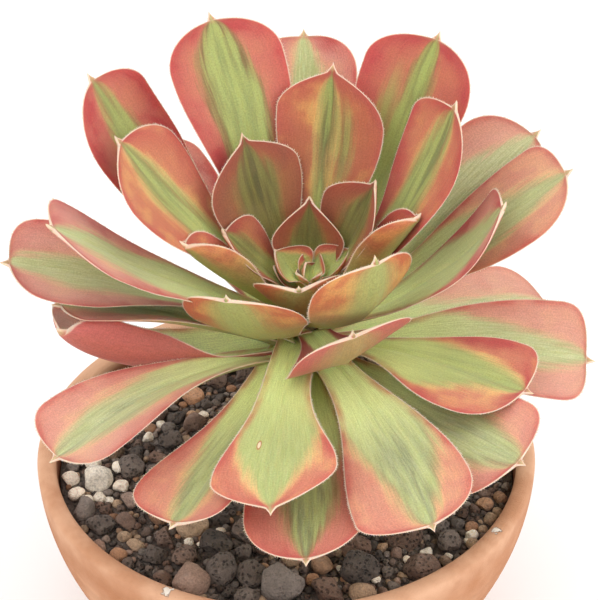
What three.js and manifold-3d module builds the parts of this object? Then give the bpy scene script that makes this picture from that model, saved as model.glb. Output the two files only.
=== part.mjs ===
// Potted aeonium: a rosette of spoon-shaped leaves on a short stem, in a terracotta pan of grit.
// Millimetres, +Z up. The origin is the centre of the underside of the pan, and -Y is the front.

import * as THREE from 'three';
import { mergeVertices } from 'three/addons/utils/BufferGeometryUtils.js';
import Module from 'manifold-3d';

const wasm = await Module();
wasm.setup();

// Pan: a five-inch bowl with three drain holes.
const RIM_RADIUS = 63.5;
const PAN_HEIGHT = 56;
const FOOT_RADIUS = 38;
const WALL = 4.7;
const FLOOR = 6;
const RIM_ROUND = 1.6;
const DRAIN_RADIUS = 4;
const DRAIN_CIRCLE = 22;
const DRAIN_TURNS = [30, 150, 270];
const PAN_SIDES = 40;
const PAN_STEPS = 6;

// Grit that fills the pan, with stones on top.
const SOIL_LEVEL = 49.5;
const STONE_COUNT = 64;
const STONE_MIN = 2.8;
const STONE_MAX = 7.2;
const STONE_FIELD = 56.5;
const GOLDEN_ANGLE = 137.5;
const SEED = 4349;

// Stem and crown: the leaves leave the stem between the crown and the heart.
const STEM_FOOT = new THREE.Vector3(2.5, 1, 38);
const CROWN = new THREE.Vector3(4, 0, 87);
const HEART = new THREE.Vector3(6, 0, 108);
const STEM_RADIUS = 5.6;
const CROWN_RADIUS = 5.5;
const HEART_RADIUS = 1.5;
const STEM_SIDES = 12;
const SCAR_HEIGHT = 0.35;
const HEART_START = 0.86;
const BUD_FOOT_RADIUS = 0.6;

// Room kept between neighbours, and how far a trimmed surface may be simplified.
const GAP = 0.35;
const SLIVER = 0.03;

// Leaf blade: thick along the midrib, thin at the margin, with a small point at its end.
// A leaf shorter than SMALL_LEAF has a smaller point and fewer rows of faces.
const EDGE_THICKNESS = 0.8;
const RIB_THICKNESS = 2.2;
const BASE_THICKNESS = 2.0;
const POINT_LENGTH = 2.4;
const POINT_HALF_WIDTH = 1.3;
const LEAST_HALF_WIDTH = 0.35;
const LEAST_ROWS = 5;
const MORE_ROWS = 6;
const SMALL_LEAF = 45;

// What a leaf has unless its row says otherwise. Angles are degrees; azimuth 0 faces the front,
// 90 the right. rise and tip are the midrib's slope at its base and at its end, sweep turns it
// sideways, roll tips the blade, fold is the V at the midrib, curl cups each half, and left and
// right add to the curl of one half. widest and base shape the outline, neck keeps it narrow for
// longer, blunt squares its end, peaked draws it out to a point, and skew and shift make its two
// sides differ.
const PLAIN_LEAF = {
  sweep: 0, roll: 0, fold: 8, curl: 14, left: 0, right: 0, bend: 1,
  widest: 0.8, base: 0.26, neck: 1.15, blunt: 2.2, peaked: 0, skew: 0, shift: 0,
};

// Each row: name, height on the crown from 0 to 1, azimuth, rise, tip, length, width, and the rest.
const LEAVES = [
  ['front_2', 0, 2, -2, -9, 68, 29,
    { sweep: -3, roll: 10, fold: 2, curl: 6, neck: 1.05, widest: 0.77, base: 0.36 }],
  ['right_3', 0, 116, 2, -17, 68, 28, { roll: -4, fold: 14, curl: 11, widest: 0.84, base: 0.2 }],
  ['back_9', 0, 186, 12, 2, 64, 28],
  ['left_5', 0, 305, 22, -19, 70, 31,
    { sweep: 6, roll: 8, curl: 9, bend: 0.9, neck: 1.35,
      widest: 0.84, base: 0.2, blunt: 2.5, peaked: 0.15 }],
  ['front_4', 0.02, 44, 3, 4, 67, 31,
    { sweep: 2, roll: 17, fold: 5, curl: 4, widest: 0.84,
      base: 0.33, blunt: 2.6, peaked: 0.15, skew: -0.06 }],
  ['right_2', 0.06, 82, 6, -6, 67, 34,
    { sweep: 3, roll: 11, bend: 1.2, neck: 0.95, widest: 0.85, blunt: 3, skew: -0.07 }],
  ['back_10', 0.06, 155, 16, 8, 64, 28],
  ['left_6', 0.06, 338, 1, -9, 66, 28,
    { sweep: -7, roll: 17, curl: 7, neck: 2, widest: 0.81, base: 0.45,
      blunt: 2.8, peaked: 0.05, skew: -0.06, shift: -0.01 }],
  ['left_4', 0.08, 285, -1, 55, 62, 26,
    { sweep: 10, roll: 20, fold: 18, curl: 14, right: 85, bend: 1.8,
      base: 0.5, blunt: 2.4, skew: -0.2, shift: -0.04 }],
  ['left_3', 0.12, 276, 28, 6, 59, 28,
    { sweep: 6, fold: 14, curl: 16, widest: 0.84, base: 0.2, shift: 0.03 }],
  ['back_8', 0.12, 222, 18, 26, 68, 30, { roll: 4, fold: 10, widest: 0.82 }],
  ['back_2', 0.22, 180, 40, 38, 78, 30, { roll: -4, fold: 12, curl: 19, base: 0.24 }],
  ['right_5', 0.2, 113, 32, 42, 73, 30, { roll: 14, fold: 12, curl: 20, base: 0.2 }],
  ['left_2', 0.24, 270, 26, 15, 73, 32,
    { sweep: 12, roll: -6, curl: 12, neck: 2, widest: 0.78, base: 0.18,
      blunt: 2.8, peaked: 0, skew: 0.07, shift: -0.05 }],
  ['right_1', 0.2, 60, 14, -5, 58, 32,
    { fold: 3, curl: 2, bend: 1.2, neck: 1.4, widest: 0.79, base: 0.2,
      blunt: 2.5, peaked: 0.2, skew: -0.07, shift: 0.05 }],
  ['front_3', 0.24, 28, 3, -9, 72, 29,
    { sweep: -12, roll: 15, fold: 3, curl: 2, neck: 1.4, widest: 0.84,
      base: 0.29, blunt: 2.4, peaked: 0.1, skew: -0.1, shift: -0.03 }],
  ['front_1', 0.3, 349, 10, -12, 66, 29,
    { sweep: 10, roll: 9, fold: 2, curl: 3, neck: 2.4, widest: 0.83,
      base: 0.38, blunt: 2, peaked: 0.7, skew: 0.03, shift: -0.02 }],
  ['right_4', 0.3, 96, 32, 41, 73.5, 28,
    { sweep: -4, roll: 12, fold: 4, curl: 2, bend: 1.3, widest: 0.83,
      base: 0.18, blunt: 2.4, peaked: 0.1, shift: 0.04 }],
  ['left_1', 0.34, 282, 32, 40, 72, 35,
    { sweep: 13, fold: 2, curl: 7, neck: 2, widest: 0.85, base: 0.4,
      blunt: 2, peaked: 0.15, skew: 0.13, shift: -0.02 }],
  ['back_6', 0.38, 247, 40, 56, 78, 30,
    { roll: -7, fold: 4, curl: 8, bend: 1.15, base: 0.2, peaked: 0.2, skew: 0.09, shift: -0.06 }],
  ['back_3', 0.38, 138, 45, 60, 76, 33,
    { sweep: 3, curl: 9, bend: 1.1, widest: 0.81, peaked: 0.1, shift: 0.03 }],
  ['back_1', 0.38, 210, 58, 54, 77, 32,
    { fold: 10, widest: 0.82, base: 0.2, peaked: 0.15, skew: 0.06 }],
  ['right_7', 0.4, 79, 20, 66, 61, 25,
    { roll: 4, fold: 3, curl: 4, widest: 0.82, peaked: 0.2, shift: 0.05 }],
  ['inner_8', 0.36, 22, 7, 88, 36, 33,
    { sweep: -4, roll: 12, fold: 7, curl: -8, bend: 1.8, widest: 0.7, blunt: 3.6, skew: 0.06 }],
  ['inner_7', 0.42, 319, 18, 80, 35, 31,
    { roll: 22, fold: 6, curl: -6, bend: 1.5, widest: 0.72, base: 0.3, blunt: 3.4, skew: 0.15 }],
  ['back_7', 0.48, 265, 45, 55, 64, 33,
    { roll: -11, fold: 6, curl: 6, bend: 1.15, neck: 1.5, widest: 0.79,
      base: 0.2, blunt: 1.9, peaked: 0.1, skew: 0.06, shift: 0 }],
  ['right_6', 0.5, 102, 46, 73, 64, 29,
    { sweep: 12, fold: 4, curl: 5, bend: 1.2, widest: 0.78, base: 0.18, peaked: 0.25, shift: 0.06 }],
  ['inner_6', 0.5, 35, 30, 103, 43, 29,
    { fold: 12, curl: 2, bend: 2, widest: 0.74, base: 0.32, blunt: 2.8, skew: -0.09 }],
  ['back_4', 0.54, 169, 57, 60, 59, 28,
    { roll: -4, widest: 0.75, peaked: 0.95, skew: -0.09, shift: 0.04 }],
  ['back_5', 0.6, 222, 54, 70, 44, 27,
    { roll: -7, fold: 6, curl: 10, bend: 0.9, widest: 0.7,
      base: 0.2, peaked: 1, skew: 0.08, shift: -0.04 }],
  ['inner_1', 0.6, 284, 36, 46, 37, 17,
    { fold: 30, curl: 22, right: 30, widest: 0.74, base: 0.3, skew: 0.2 }],
  ['inner_9', 0.6, 352, 36, 80, 24, 23,
    { sweep: 4, roll: 10, fold: 26, curl: 8, bend: 1.8, widest: 0.74, base: 0.4, blunt: 3 }],
  ['inner_5', 0.66, 83, 44, 55, 37, 16,
    { fold: 30, curl: 22, left: 30, widest: 0.74, base: 0.3, skew: -0.2 }],
  ['inner_4', 0.7, 110, 60, 70, 34, 24,
    { roll: 8, fold: 13, curl: 16, widest: 0.68, base: 0.2, blunt: 1.7, peaked: 0.4 }],
  ['inner_2', 0.74, 271, 46, 50, 27, 19,
    { roll: -8, fold: 10, curl: 22, widest: 0.74, base: 0.2, blunt: 1.9, peaked: 0.2 }],
  ['inner_3', 0.68, 177, 66, 90, 26, 20,
    { fold: 18, curl: 24, bend: 0.7, widest: 0.6, base: 0.4, blunt: 1.7, peaked: 0.9 }],
];

// The leaves of the bud in the middle, which grow together round the end of the stem.
const BUD_LEAVES = [
  ['bud_1', 0.86, 259, 44, 60, 13, 16,
    { roll: -34, fold: 28, curl: 44, widest: 0.6, base: 0.4, peaked: 0.5 }],
  ['bud_2', 0.88, 99, 36, 60, 14, 13,
    { roll: 24, fold: 28, curl: 42, widest: 0.6, base: 0.4, peaked: 0.6 }],
  ['bud_3', 0.84, 92, 24, 66, 17, 7, { fold: 20, curl: 10, widest: 0.7, base: 0.4, peaked: 0.5 }],
  ['bud_4', 0.93, 156, 78, 56, 8, 9,
    { sweep: -40, roll: 30, fold: 24, curl: 34, widest: 0.55, base: 0.6, peaked: 0.5 }],
  ['bud_6', 0.84, 270, 14, 70, 11, 7, { fold: 4, curl: 6, widest: 0.6, base: 0.4, peaked: 0.5 }],
  ['bud_5', 0.96, 235, 78, 96, 5, 7, { fold: 10, curl: 34, widest: 0.55, base: 0.6, peaked: 0.5 }],
  ['bud_7', 0.97, 70, 40, 64, 4, 5, { fold: 10, curl: 30, widest: 0.55, base: 0.6, peaked: 0.5 }],
  ['bud_8', 0.92, 290, 44, 70, 5, 6, { fold: 10, curl: 30, widest: 0.55, base: 0.6, peaked: 0.4 }],
];

const DEGREE = Math.PI / 180;
const clamp = THREE.MathUtils.clamp;
const smooth = (t) => THREE.MathUtils.smoothstep(t, 0, 1);

// A seeded random number from 0 to 1, the same on every run.
function seededRandom(seed) {
  let state = seed;
  return () => {
    state = (state + 0x6d2b79f5) | 0;
    let t = Math.imul(state ^ (state >>> 15), 1 | state);
    t = (t + Math.imul(t ^ (t >>> 7), 61 | t)) ^ t;
    return ((t ^ (t >>> 14)) >>> 0) / 4294967296;
  };
}

// A closed three.js geometry as a solid: corners at one place are joined first.
function toSolid(geometry) {
  const bare = geometry.clone();
  bare.deleteAttribute('normal');
  bare.deleteAttribute('uv');
  const merged = mergeVertices(bare, 1e-4);
  const index = merged.index.array;
  const corners = [];
  for (let i = 0; i < index.length; i += 3) {
    const [a, b, c] = [index[i], index[i + 1], index[i + 2]];
    if (a !== b && b !== c && c !== a) corners.push(a, b, c);
  }
  return fromArrays(merged.attributes.position.array, corners);
}

// A solid from corner places and the triangles between them.
function fromArrays(positions, corners) {
  return new wasm.Manifold(new wasm.Mesh({
    numProp: 3,
    vertProperties: Float32Array.from(positions),
    triVerts: Uint32Array.from(corners),
  }));
}

// A solid as a three.js geometry with its normals.
function toGeometry(solid) {
  const mesh = solid.getMesh();
  const geometry = new THREE.BufferGeometry();
  geometry.setAttribute('position', new THREE.BufferAttribute(mesh.vertProperties, 3));
  geometry.setIndex(new THREE.BufferAttribute(mesh.triVerts, 1));
  geometry.computeVertexNormals();
  return geometry;
}

// What is left of a cut solid: its largest body, without slivers along the cuts.
function largestBody(solid) {
  const bodies = solid.simplify(SLIVER).decompose();
  return bodies.reduce((best, body) => (body.volume() > best.volume() ? body : best));
}

// Leaf outline: half the width at u along the midrib, on one side of it.
function halfWidth(leaf, u, side) {
  const full = (leaf.width / 2) * (1 + leaf.skew * side);
  const widest = leaf.widest + leaf.shift * side;
  const small = Math.min(1, leaf.length / SMALL_LEAF);
  const blade = 1 - (POINT_LENGTH / leaf.length) * small;
  if (u <= widest) {
    const rise = (1 - Math.cos(Math.PI * (u / widest) ** leaf.neck)) / 2;
    return full * (leaf.base + (1 - leaf.base) * rise);
  }
  const y = clamp((u - widest) / (blade - widest), 0, 1);
  const body = full * (1 - y ** leaf.blunt) ** ((1 + leaf.peaked) / leaf.blunt);
  const point = POINT_HALF_WIDTH * small * Math.min(1, ((1 - u) / (1 - blade)) ** 1.5);
  return Math.hypot(body, point);
}

// Leaf section: where v from -1 to 1 lies beside and above the midrib, in half widths.
function section(leaf, u, v) {
  const side = v < 0 ? -1 : 1;
  const ramp = clamp(u / 0.35, 0, 1);
  const extra = (side > 0 ? leaf.right : leaf.left) * smooth(clamp((u - 0.25) / 0.35, 0, 1));
  const fold = leaf.fold * (1.25 - 0.5 * u) * DEGREE;
  const curl = (leaf.curl * (0.35 + 0.65 * ramp) + extra) * DEGREE || 1e-4;
  const slope = fold + curl * Math.abs(v);
  return {
    across: (side * (Math.sin(slope) - Math.sin(fold))) / curl,
    lift: (Math.cos(fold) - Math.cos(slope)) / curl,
    slope: side * slope,
  };
}

// The midrib's way from its foot: a point with its direction, side and up vectors at each station.
function midrib(leaf, foot, stations) {
  const heading = (u) => (leaf.azimuth + leaf.sweep * u) * DEGREE;
  const direction = (u) => {
    const pitch = (leaf.rise + (leaf.tip - leaf.rise) * u ** leaf.bend) * DEGREE;
    const turn = heading(u);
    return new THREE.Vector3(
      Math.sin(turn) * Math.cos(pitch), -Math.cos(turn) * Math.cos(pitch), Math.sin(pitch));
  };
  const point = foot.clone();
  let reached = 0;
  return stations.map((u) => {
    const stride = (u - reached) / 4;
    for (let k = 0; k < 4 && u > reached; k += 1) {
      point.addScaledVector(direction(reached + (k + 0.5) * stride), stride * leaf.length);
    }
    reached = u;
    const along = direction(u);
    const level = new THREE.Vector3(Math.cos(heading(u)), Math.sin(heading(u)), 0);
    const above = along.clone().cross(level);
    const roll = leaf.roll * clamp(u / 0.5, 0, 1) * DEGREE;
    const beside = level.clone().multiplyScalar(Math.cos(roll)).addScaledVector(above, Math.sin(roll));
    return { u, point: point.clone(), along, beside, up: along.clone().cross(beside) };
  });
}

// Blade thickness at u along and v across: it swells towards the midrib and thins to the end.
function bladeThickness(u, v) {
  const rib = THREE.MathUtils.lerp(BASE_THICKNESS, RIB_THICKNESS, smooth(clamp(u / 0.3, 0, 1)));
  const fade = 1 - 0.5 * smooth(clamp((u - 0.5) / 0.5, 0, 1));
  const middle = Math.max(EDGE_THICKNESS, rib * fade);
  return EDGE_THICKNESS + (middle - EDGE_THICKNESS) * (1 - v * v);
}

// A leaf blade as one closed body. With grow, it is that much larger all round.
function bladeSolid(leaf, foot, grow = 0) {
  const rows = LEAST_ROWS + Math.round(MORE_ROWS * Math.min(1, leaf.length / SMALL_LEAF));
  const across = [-1, -0.5, 0, 0.5, 1];
  const stations = Array.from({ length: rows }, (_, i) => 1 - (1 - i / (rows - 1)) ** 1.35);
  const positions = [];
  midrib(leaf, foot, stations).forEach((spine, i) => {
    const ends = i === 0 ? -grow : i === rows - 1 ? grow : 0;
    const centre = spine.point.clone().addScaledVector(spine.along, ends);
    const upper = [];
    const lower = [];
    for (const v of across) {
      const half = Math.max(halfWidth(leaf, spine.u, v < 0 ? -1 : 1), LEAST_HALF_WIDTH);
      const part = section(leaf, spine.u, v);
      const outward = new THREE.Vector3()
        .addScaledVector(spine.up, Math.cos(part.slope))
        .addScaledVector(spine.beside, -Math.sin(part.slope));
      const edge = Math.abs(v) === 1 ? v * grow : 0;
      const skin = centre.clone()
        .addScaledVector(spine.beside, part.across * half + edge * Math.cos(part.slope))
        .addScaledVector(spine.up, part.lift * half + edge * Math.sin(part.slope));
      upper.push(skin.clone().addScaledVector(outward, grow));
      lower.push(skin.clone().addScaledVector(outward, -bladeThickness(spine.u, v) - grow));
    }
    for (const p of [...upper, ...lower.reverse()]) positions.push(p.x, p.y, p.z);
  });
  return fromArrays(positions, bladeCorners(rows, across.length));
}

// Triangles of a blade: rings of top points then bottom points, split alike on both faces.
function bladeCorners(rows, width) {
  const ring = 2 * width;
  const corners = [];
  for (let i = 0; i < rows - 1; i += 1) {
    for (let j = 0; j < ring; j += 1) {
      const a = i * ring + j;
      const b = i * ring + ((j + 1) % ring);
      const c = b + ring;
      const d = a + ring;
      if (j < width) corners.push(a, d, c, a, c, b);
      else corners.push(a, d, b, b, d, c);
    }
  }
  const last = (rows - 1) * ring;
  for (let j = 0; j < width - 1; j += 1) {
    const below = ring - 1 - j;
    corners.push(j, j + 1, below - 1, j, below - 1, below);
    corners.push(last + j, last + below - 1, last + j + 1, last + j, last + below, last + below - 1);
  }
  return corners;
}

// A leaf's whole description from its row.
function leafFromRow([name, height, azimuth, rise, tip, length, width, rest = {}]) {
  return { ...PLAIN_LEAF, name, height, azimuth, rise, tip, length, width, ...rest };
}

// Where a leaf's midrib leaves the stem, or the bud's core.
function leafFoot(leaf) {
  const radius = leaf.name.startsWith('bud') ? BUD_FOOT_RADIUS
    : THREE.MathUtils.lerp(CROWN_RADIUS, HEART_RADIUS, leaf.height);
  const turn = leaf.azimuth * DEGREE;
  return CROWN.clone().lerp(HEART, leaf.height)
    .add(new THREE.Vector3(Math.sin(turn) * radius, -Math.cos(turn) * radius, 0));
}

// A round tapering body along a chain of {centre, radius} rings.
function ringedSolid(rings, sides) {
  const positions = [];
  for (const { centre, radius, wobble = 0 } of rings) {
    for (let k = 0; k < sides; k += 1) {
      const turn = (2 * Math.PI * k) / sides;
      const r = radius * (1 + wobble * Math.cos(3 * turn));
      positions.push(centre.x + r * Math.cos(turn), centre.y + r * Math.sin(turn), centre.z);
    }
  }
  const corners = [];
  const last = (rings.length - 1) * sides;
  for (let i = 0; i < last; i += sides) {
    for (let k = 0; k < sides; k += 1) {
      const a = i + k;
      const b = i + ((k + 1) % sides);
      corners.push(a, b, b + sides, a, b + sides, a + sides);
    }
  }
  for (let k = 1; k < sides - 1; k += 1) {
    corners.push(0, k + 1, k, last, last + k, last + k + 1);
  }
  return fromArrays(positions, corners);
}

// The stem: leaf scars swell it in soft rings, and it tapers between the leaves.
function stemRings(grow) {
  const rings = [];
  const steps = 12;
  for (let i = 0; i <= steps; i += 1) {
    const t = i / steps;
    const centre = STEM_FOOT.clone().lerp(CROWN, t);
    rings.push({ centre, radius: STEM_RADIUS - 0.6 * t + (i % 2) * SCAR_HEIGHT + grow, wobble: 0.05 });
  }
  for (const q of [0.25, 0.5, HEART_START]) {
    const radius = THREE.MathUtils.lerp(CROWN_RADIUS, HEART_RADIUS, q) - 0.5;
    const end = q === HEART_START ? grow : 0;
    const centre = CROWN.clone().lerp(HEART, q).add(new THREE.Vector3(0, 0, end));
    rings.push({ centre, radius: radius + grow });
  }
  return rings;
}

// The pan's outer wall widens upwards as a parabola from its foot to its rim.
function panRadius(z) {
  const depth = (PAN_HEIGHT - z) / PAN_HEIGHT;
  return RIM_RADIUS - (RIM_RADIUS - FOOT_RADIUS) * depth * depth;
}

// The wall's outline between two heights, moved inwards by offset.
function panProfile(offset, low, high) {
  const points = [];
  for (let i = 0; i <= PAN_STEPS; i += 1) {
    const z = THREE.MathUtils.lerp(low, high, i / PAN_STEPS);
    points.push(new THREE.Vector2(panRadius(z) - offset, z));
  }
  return points;
}

// A solid turned round the Z axis from a profile of radius and height.
function lathed(points, sides) {
  const geometry = new THREE.LatheGeometry(points, sides);
  geometry.rotateX(Math.PI / 2);
  return toSolid(geometry);
}

// The pan: a wall with a rounded rim, a floor, and drain holes through it.
function panSolid() {
  const outer = panProfile(0, 0, PAN_HEIGHT - RIM_ROUND);
  const rim = [30, 90, 150].map((turn) => new THREE.Vector2(
    RIM_RADIUS - WALL / 2 + (WALL / 2) * Math.cos(turn * DEGREE),
    PAN_HEIGHT - RIM_ROUND + RIM_ROUND * Math.sin(turn * DEGREE)));
  const inner = panProfile(WALL, FLOOR, PAN_HEIGHT - RIM_ROUND).reverse();
  const profile = [new THREE.Vector2(0, 0), ...outer, ...rim, ...inner, new THREE.Vector2(0, FLOOR)];
  let pan = lathed(profile, PAN_SIDES);
  for (const turn of DRAIN_TURNS) {
    const hole = new THREE.CylinderGeometry(DRAIN_RADIUS, DRAIN_RADIUS, 4 * FLOOR, 20);
    hole.rotateX(Math.PI / 2);
    hole.translate(DRAIN_CIRCLE * Math.cos(turn * DEGREE), DRAIN_CIRCLE * Math.sin(turn * DEGREE), 0);
    pan = pan.subtract(toSolid(hole));
  }
  return pan;
}

// One angular stone: an icosahedron with its corners pulled in and out.
function stoneShape(random, size) {
  const stone = new THREE.IcosahedronGeometry(1, 0);
  stone.deleteAttribute('normal');
  stone.deleteAttribute('uv');
  const merged = mergeVertices(stone, 1e-4);
  const position = merged.attributes.position;
  for (let i = 0; i < position.count; i += 1) {
    const pull = 0.82 + 0.3 * random();
    position.setXYZ(i, position.getX(i) * pull, position.getY(i) * pull, position.getZ(i) * pull);
  }
  merged.scale(size, size * (0.7 + 0.3 * random()), size * (0.6 + 0.3 * random()));
  merged.rotateX(random() * Math.PI);
  merged.rotateZ(random() * Math.PI);
  return merged;
}

// Soil: the pan's inside up to the level, with stones sunk in its top by a sunflower spiral.
function soilSolid() {
  const side = panProfile(WALL + GAP, FLOOR + GAP, SOIL_LEVEL);
  const profile = [new THREE.Vector2(0, FLOOR + GAP), ...side, new THREE.Vector2(0, SOIL_LEVEL)];
  let soil = lathed(profile, PAN_SIDES);
  const random = seededRandom(SEED);
  const stones = [];
  for (let k = 0; k < STONE_COUNT; k += 1) {
    const size = STONE_MIN + (STONE_MAX - STONE_MIN) * random() ** 1.6;
    const reach = (STONE_FIELD - size) * Math.sqrt((k + 0.5) / STONE_COUNT);
    const turn = k * GOLDEN_ANGLE * DEGREE + 0.5 * random();
    const stone = stoneShape(random, size);
    stone.translate(reach * Math.cos(turn), reach * Math.sin(turn), SOIL_LEVEL + size * 0.15);
    stones.push(toSolid(stone));
  }
  soil = soil.add(wasm.Manifold.union(stones));
  const hole = stemRings(GAP);
  hole[0].centre.z -= GAP;
  return largestBody(soil.subtract(ringedSolid(hole, STEM_SIDES)));
}

// The bud: its leaves and a short core grow together.
function budSolid() {
  const core = [HEART_START, 0.93, 1].map((q, i) => ({
    centre: CROWN.clone().lerp(HEART, q),
    radius: [1.7, 1.5, 0.7][i],
  }));
  const grown = BUD_LEAVES.map(leafFromRow).reduce(
    (whole, leaf) => whole.add(bladeSolid(leaf, leafFoot(leaf))), ringedSolid(core, 8));
  return largestBody(grown.subtract(ringedSolid(stemRings(GAP), STEM_SIDES)));
}

// The leaves, highest first: each is trimmed clear of the stem and of the leaves above it.
function leafSolids(bud) {
  const leaves = LEAVES.map(leafFromRow).sort((a, b) => b.height - a.height);
  const taken = [ringedSolid(stemRings(GAP), STEM_SIDES)];
  for (const leaf of BUD_LEAVES.map(leafFromRow)) taken.push(bladeSolid(leaf, leafFoot(leaf), GAP));
  taken.push(bud);
  return leaves.map((leaf) => {
    const foot = leafFoot(leaf);
    const solid = taken.reduce((rest, other) => rest.subtract(other), bladeSolid(leaf, foot));
    taken.push(bladeSolid(leaf, foot, GAP));
    return { leaf, solid: largestBody(solid) };
  });
}

const TERRACOTTA = new THREE.MeshStandardMaterial({ color: 0xc98a5f, roughness: 0.85, metalness: 0 });
const GRIT = new THREE.MeshStandardMaterial({ color: 0x5b524c, roughness: 0.95, metalness: 0 });
const BARK = new THREE.MeshStandardMaterial({ color: 0x8a7a5a, roughness: 0.9, metalness: 0 });
const BUD_GREEN = new THREE.MeshStandardMaterial({ color: 0xc4c86a, roughness: 0.5, metalness: 0 });
const OUTER_PINK = new THREE.MeshStandardMaterial({ color: 0xd98a74, roughness: 0.5, metalness: 0 });
const INNER_RED = new THREE.MeshStandardMaterial({ color: 0xa85a48, roughness: 0.5, metalness: 0 });

const plant = new THREE.Group();

// Adds one named mesh with a material of its own.
function addPiece(name, solid, material) {
  const mesh = new THREE.Mesh(toGeometry(solid), material.clone());
  mesh.name = name;
  plant.add(mesh);
}

addPiece('pan', panSolid(), TERRACOTTA);
addPiece('soil', soilSolid(), GRIT);
addPiece('stem', ringedSolid(stemRings(0), STEM_SIDES), BARK);
const bud = budSolid();
addPiece('bud', bud, BUD_GREEN);
for (const { leaf, solid } of leafSolids(bud)) {
  addPiece(`leaf_${leaf.name}`, solid, leaf.height > 0.5 ? INNER_RED : OUTER_PINK);
}

export default plant;
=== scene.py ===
"""Potted aeonium: a variegated rosette on a short stem, in a terracotta pan of stony grit.

Every leaf, the bud, the stem, the grit and the pan are surfaces worked out on grids from the same
sizes as the solids. Lengths are metres, except in the tables of leaves and stones, which are
millimetres and degrees. +Z is up, and -Y is the front.
"""

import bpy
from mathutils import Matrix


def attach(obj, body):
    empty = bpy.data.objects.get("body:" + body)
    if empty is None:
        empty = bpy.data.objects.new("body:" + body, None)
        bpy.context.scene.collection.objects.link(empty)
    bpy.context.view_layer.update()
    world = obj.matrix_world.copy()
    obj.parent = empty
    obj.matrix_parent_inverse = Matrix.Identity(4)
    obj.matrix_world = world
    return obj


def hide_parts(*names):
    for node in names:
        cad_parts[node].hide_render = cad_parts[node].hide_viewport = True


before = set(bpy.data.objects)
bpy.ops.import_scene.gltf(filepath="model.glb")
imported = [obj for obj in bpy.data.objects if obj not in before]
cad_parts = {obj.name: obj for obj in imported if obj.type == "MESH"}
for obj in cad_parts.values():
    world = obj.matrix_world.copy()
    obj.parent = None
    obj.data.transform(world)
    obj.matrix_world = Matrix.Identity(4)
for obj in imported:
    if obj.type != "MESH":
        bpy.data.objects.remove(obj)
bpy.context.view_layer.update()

from types import SimpleNamespace

import bmesh
import bpy
import numpy as np
from mathutils import Vector

bl_info = {
    "name": "Potted aeonium",
    "version": (1, 0, 0),
    "blender": (4, 5, 0),
    "location": "View3D > Sidebar > Aeonium",
    "description": "Builds a variegated aeonium in a terracotta pan of grit",
    "category": "Add Mesh",
}

MM = 0.001

# What a leaf has unless its row says otherwise. sweep: how far the midrib turns sideways. roll: how
# far the blade leans sideways. fold: slope of each half at the midrib. curl: how much steeper it
# gets towards the margin. left, right: more curl on one side. bend: above 1 the midrib bends late.
# widest: where, as a share of the length. base: width at the foot. neck: above 1 the foot stays
# narrow for longer. blunt: squareness of the end. peaked: how pointed it is. skew, shift: how much
# wider the right half is, and how much further out it is widest.
PLAIN_LEAF = dict(
    sweep=0, roll=0, fold=8, curl=14, left=0, right=0, bend=1,
    widest=0.8, base=0.26, neck=1.15, blunt=2.2, peaked=0, skew=0, shift=0,
)

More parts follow.
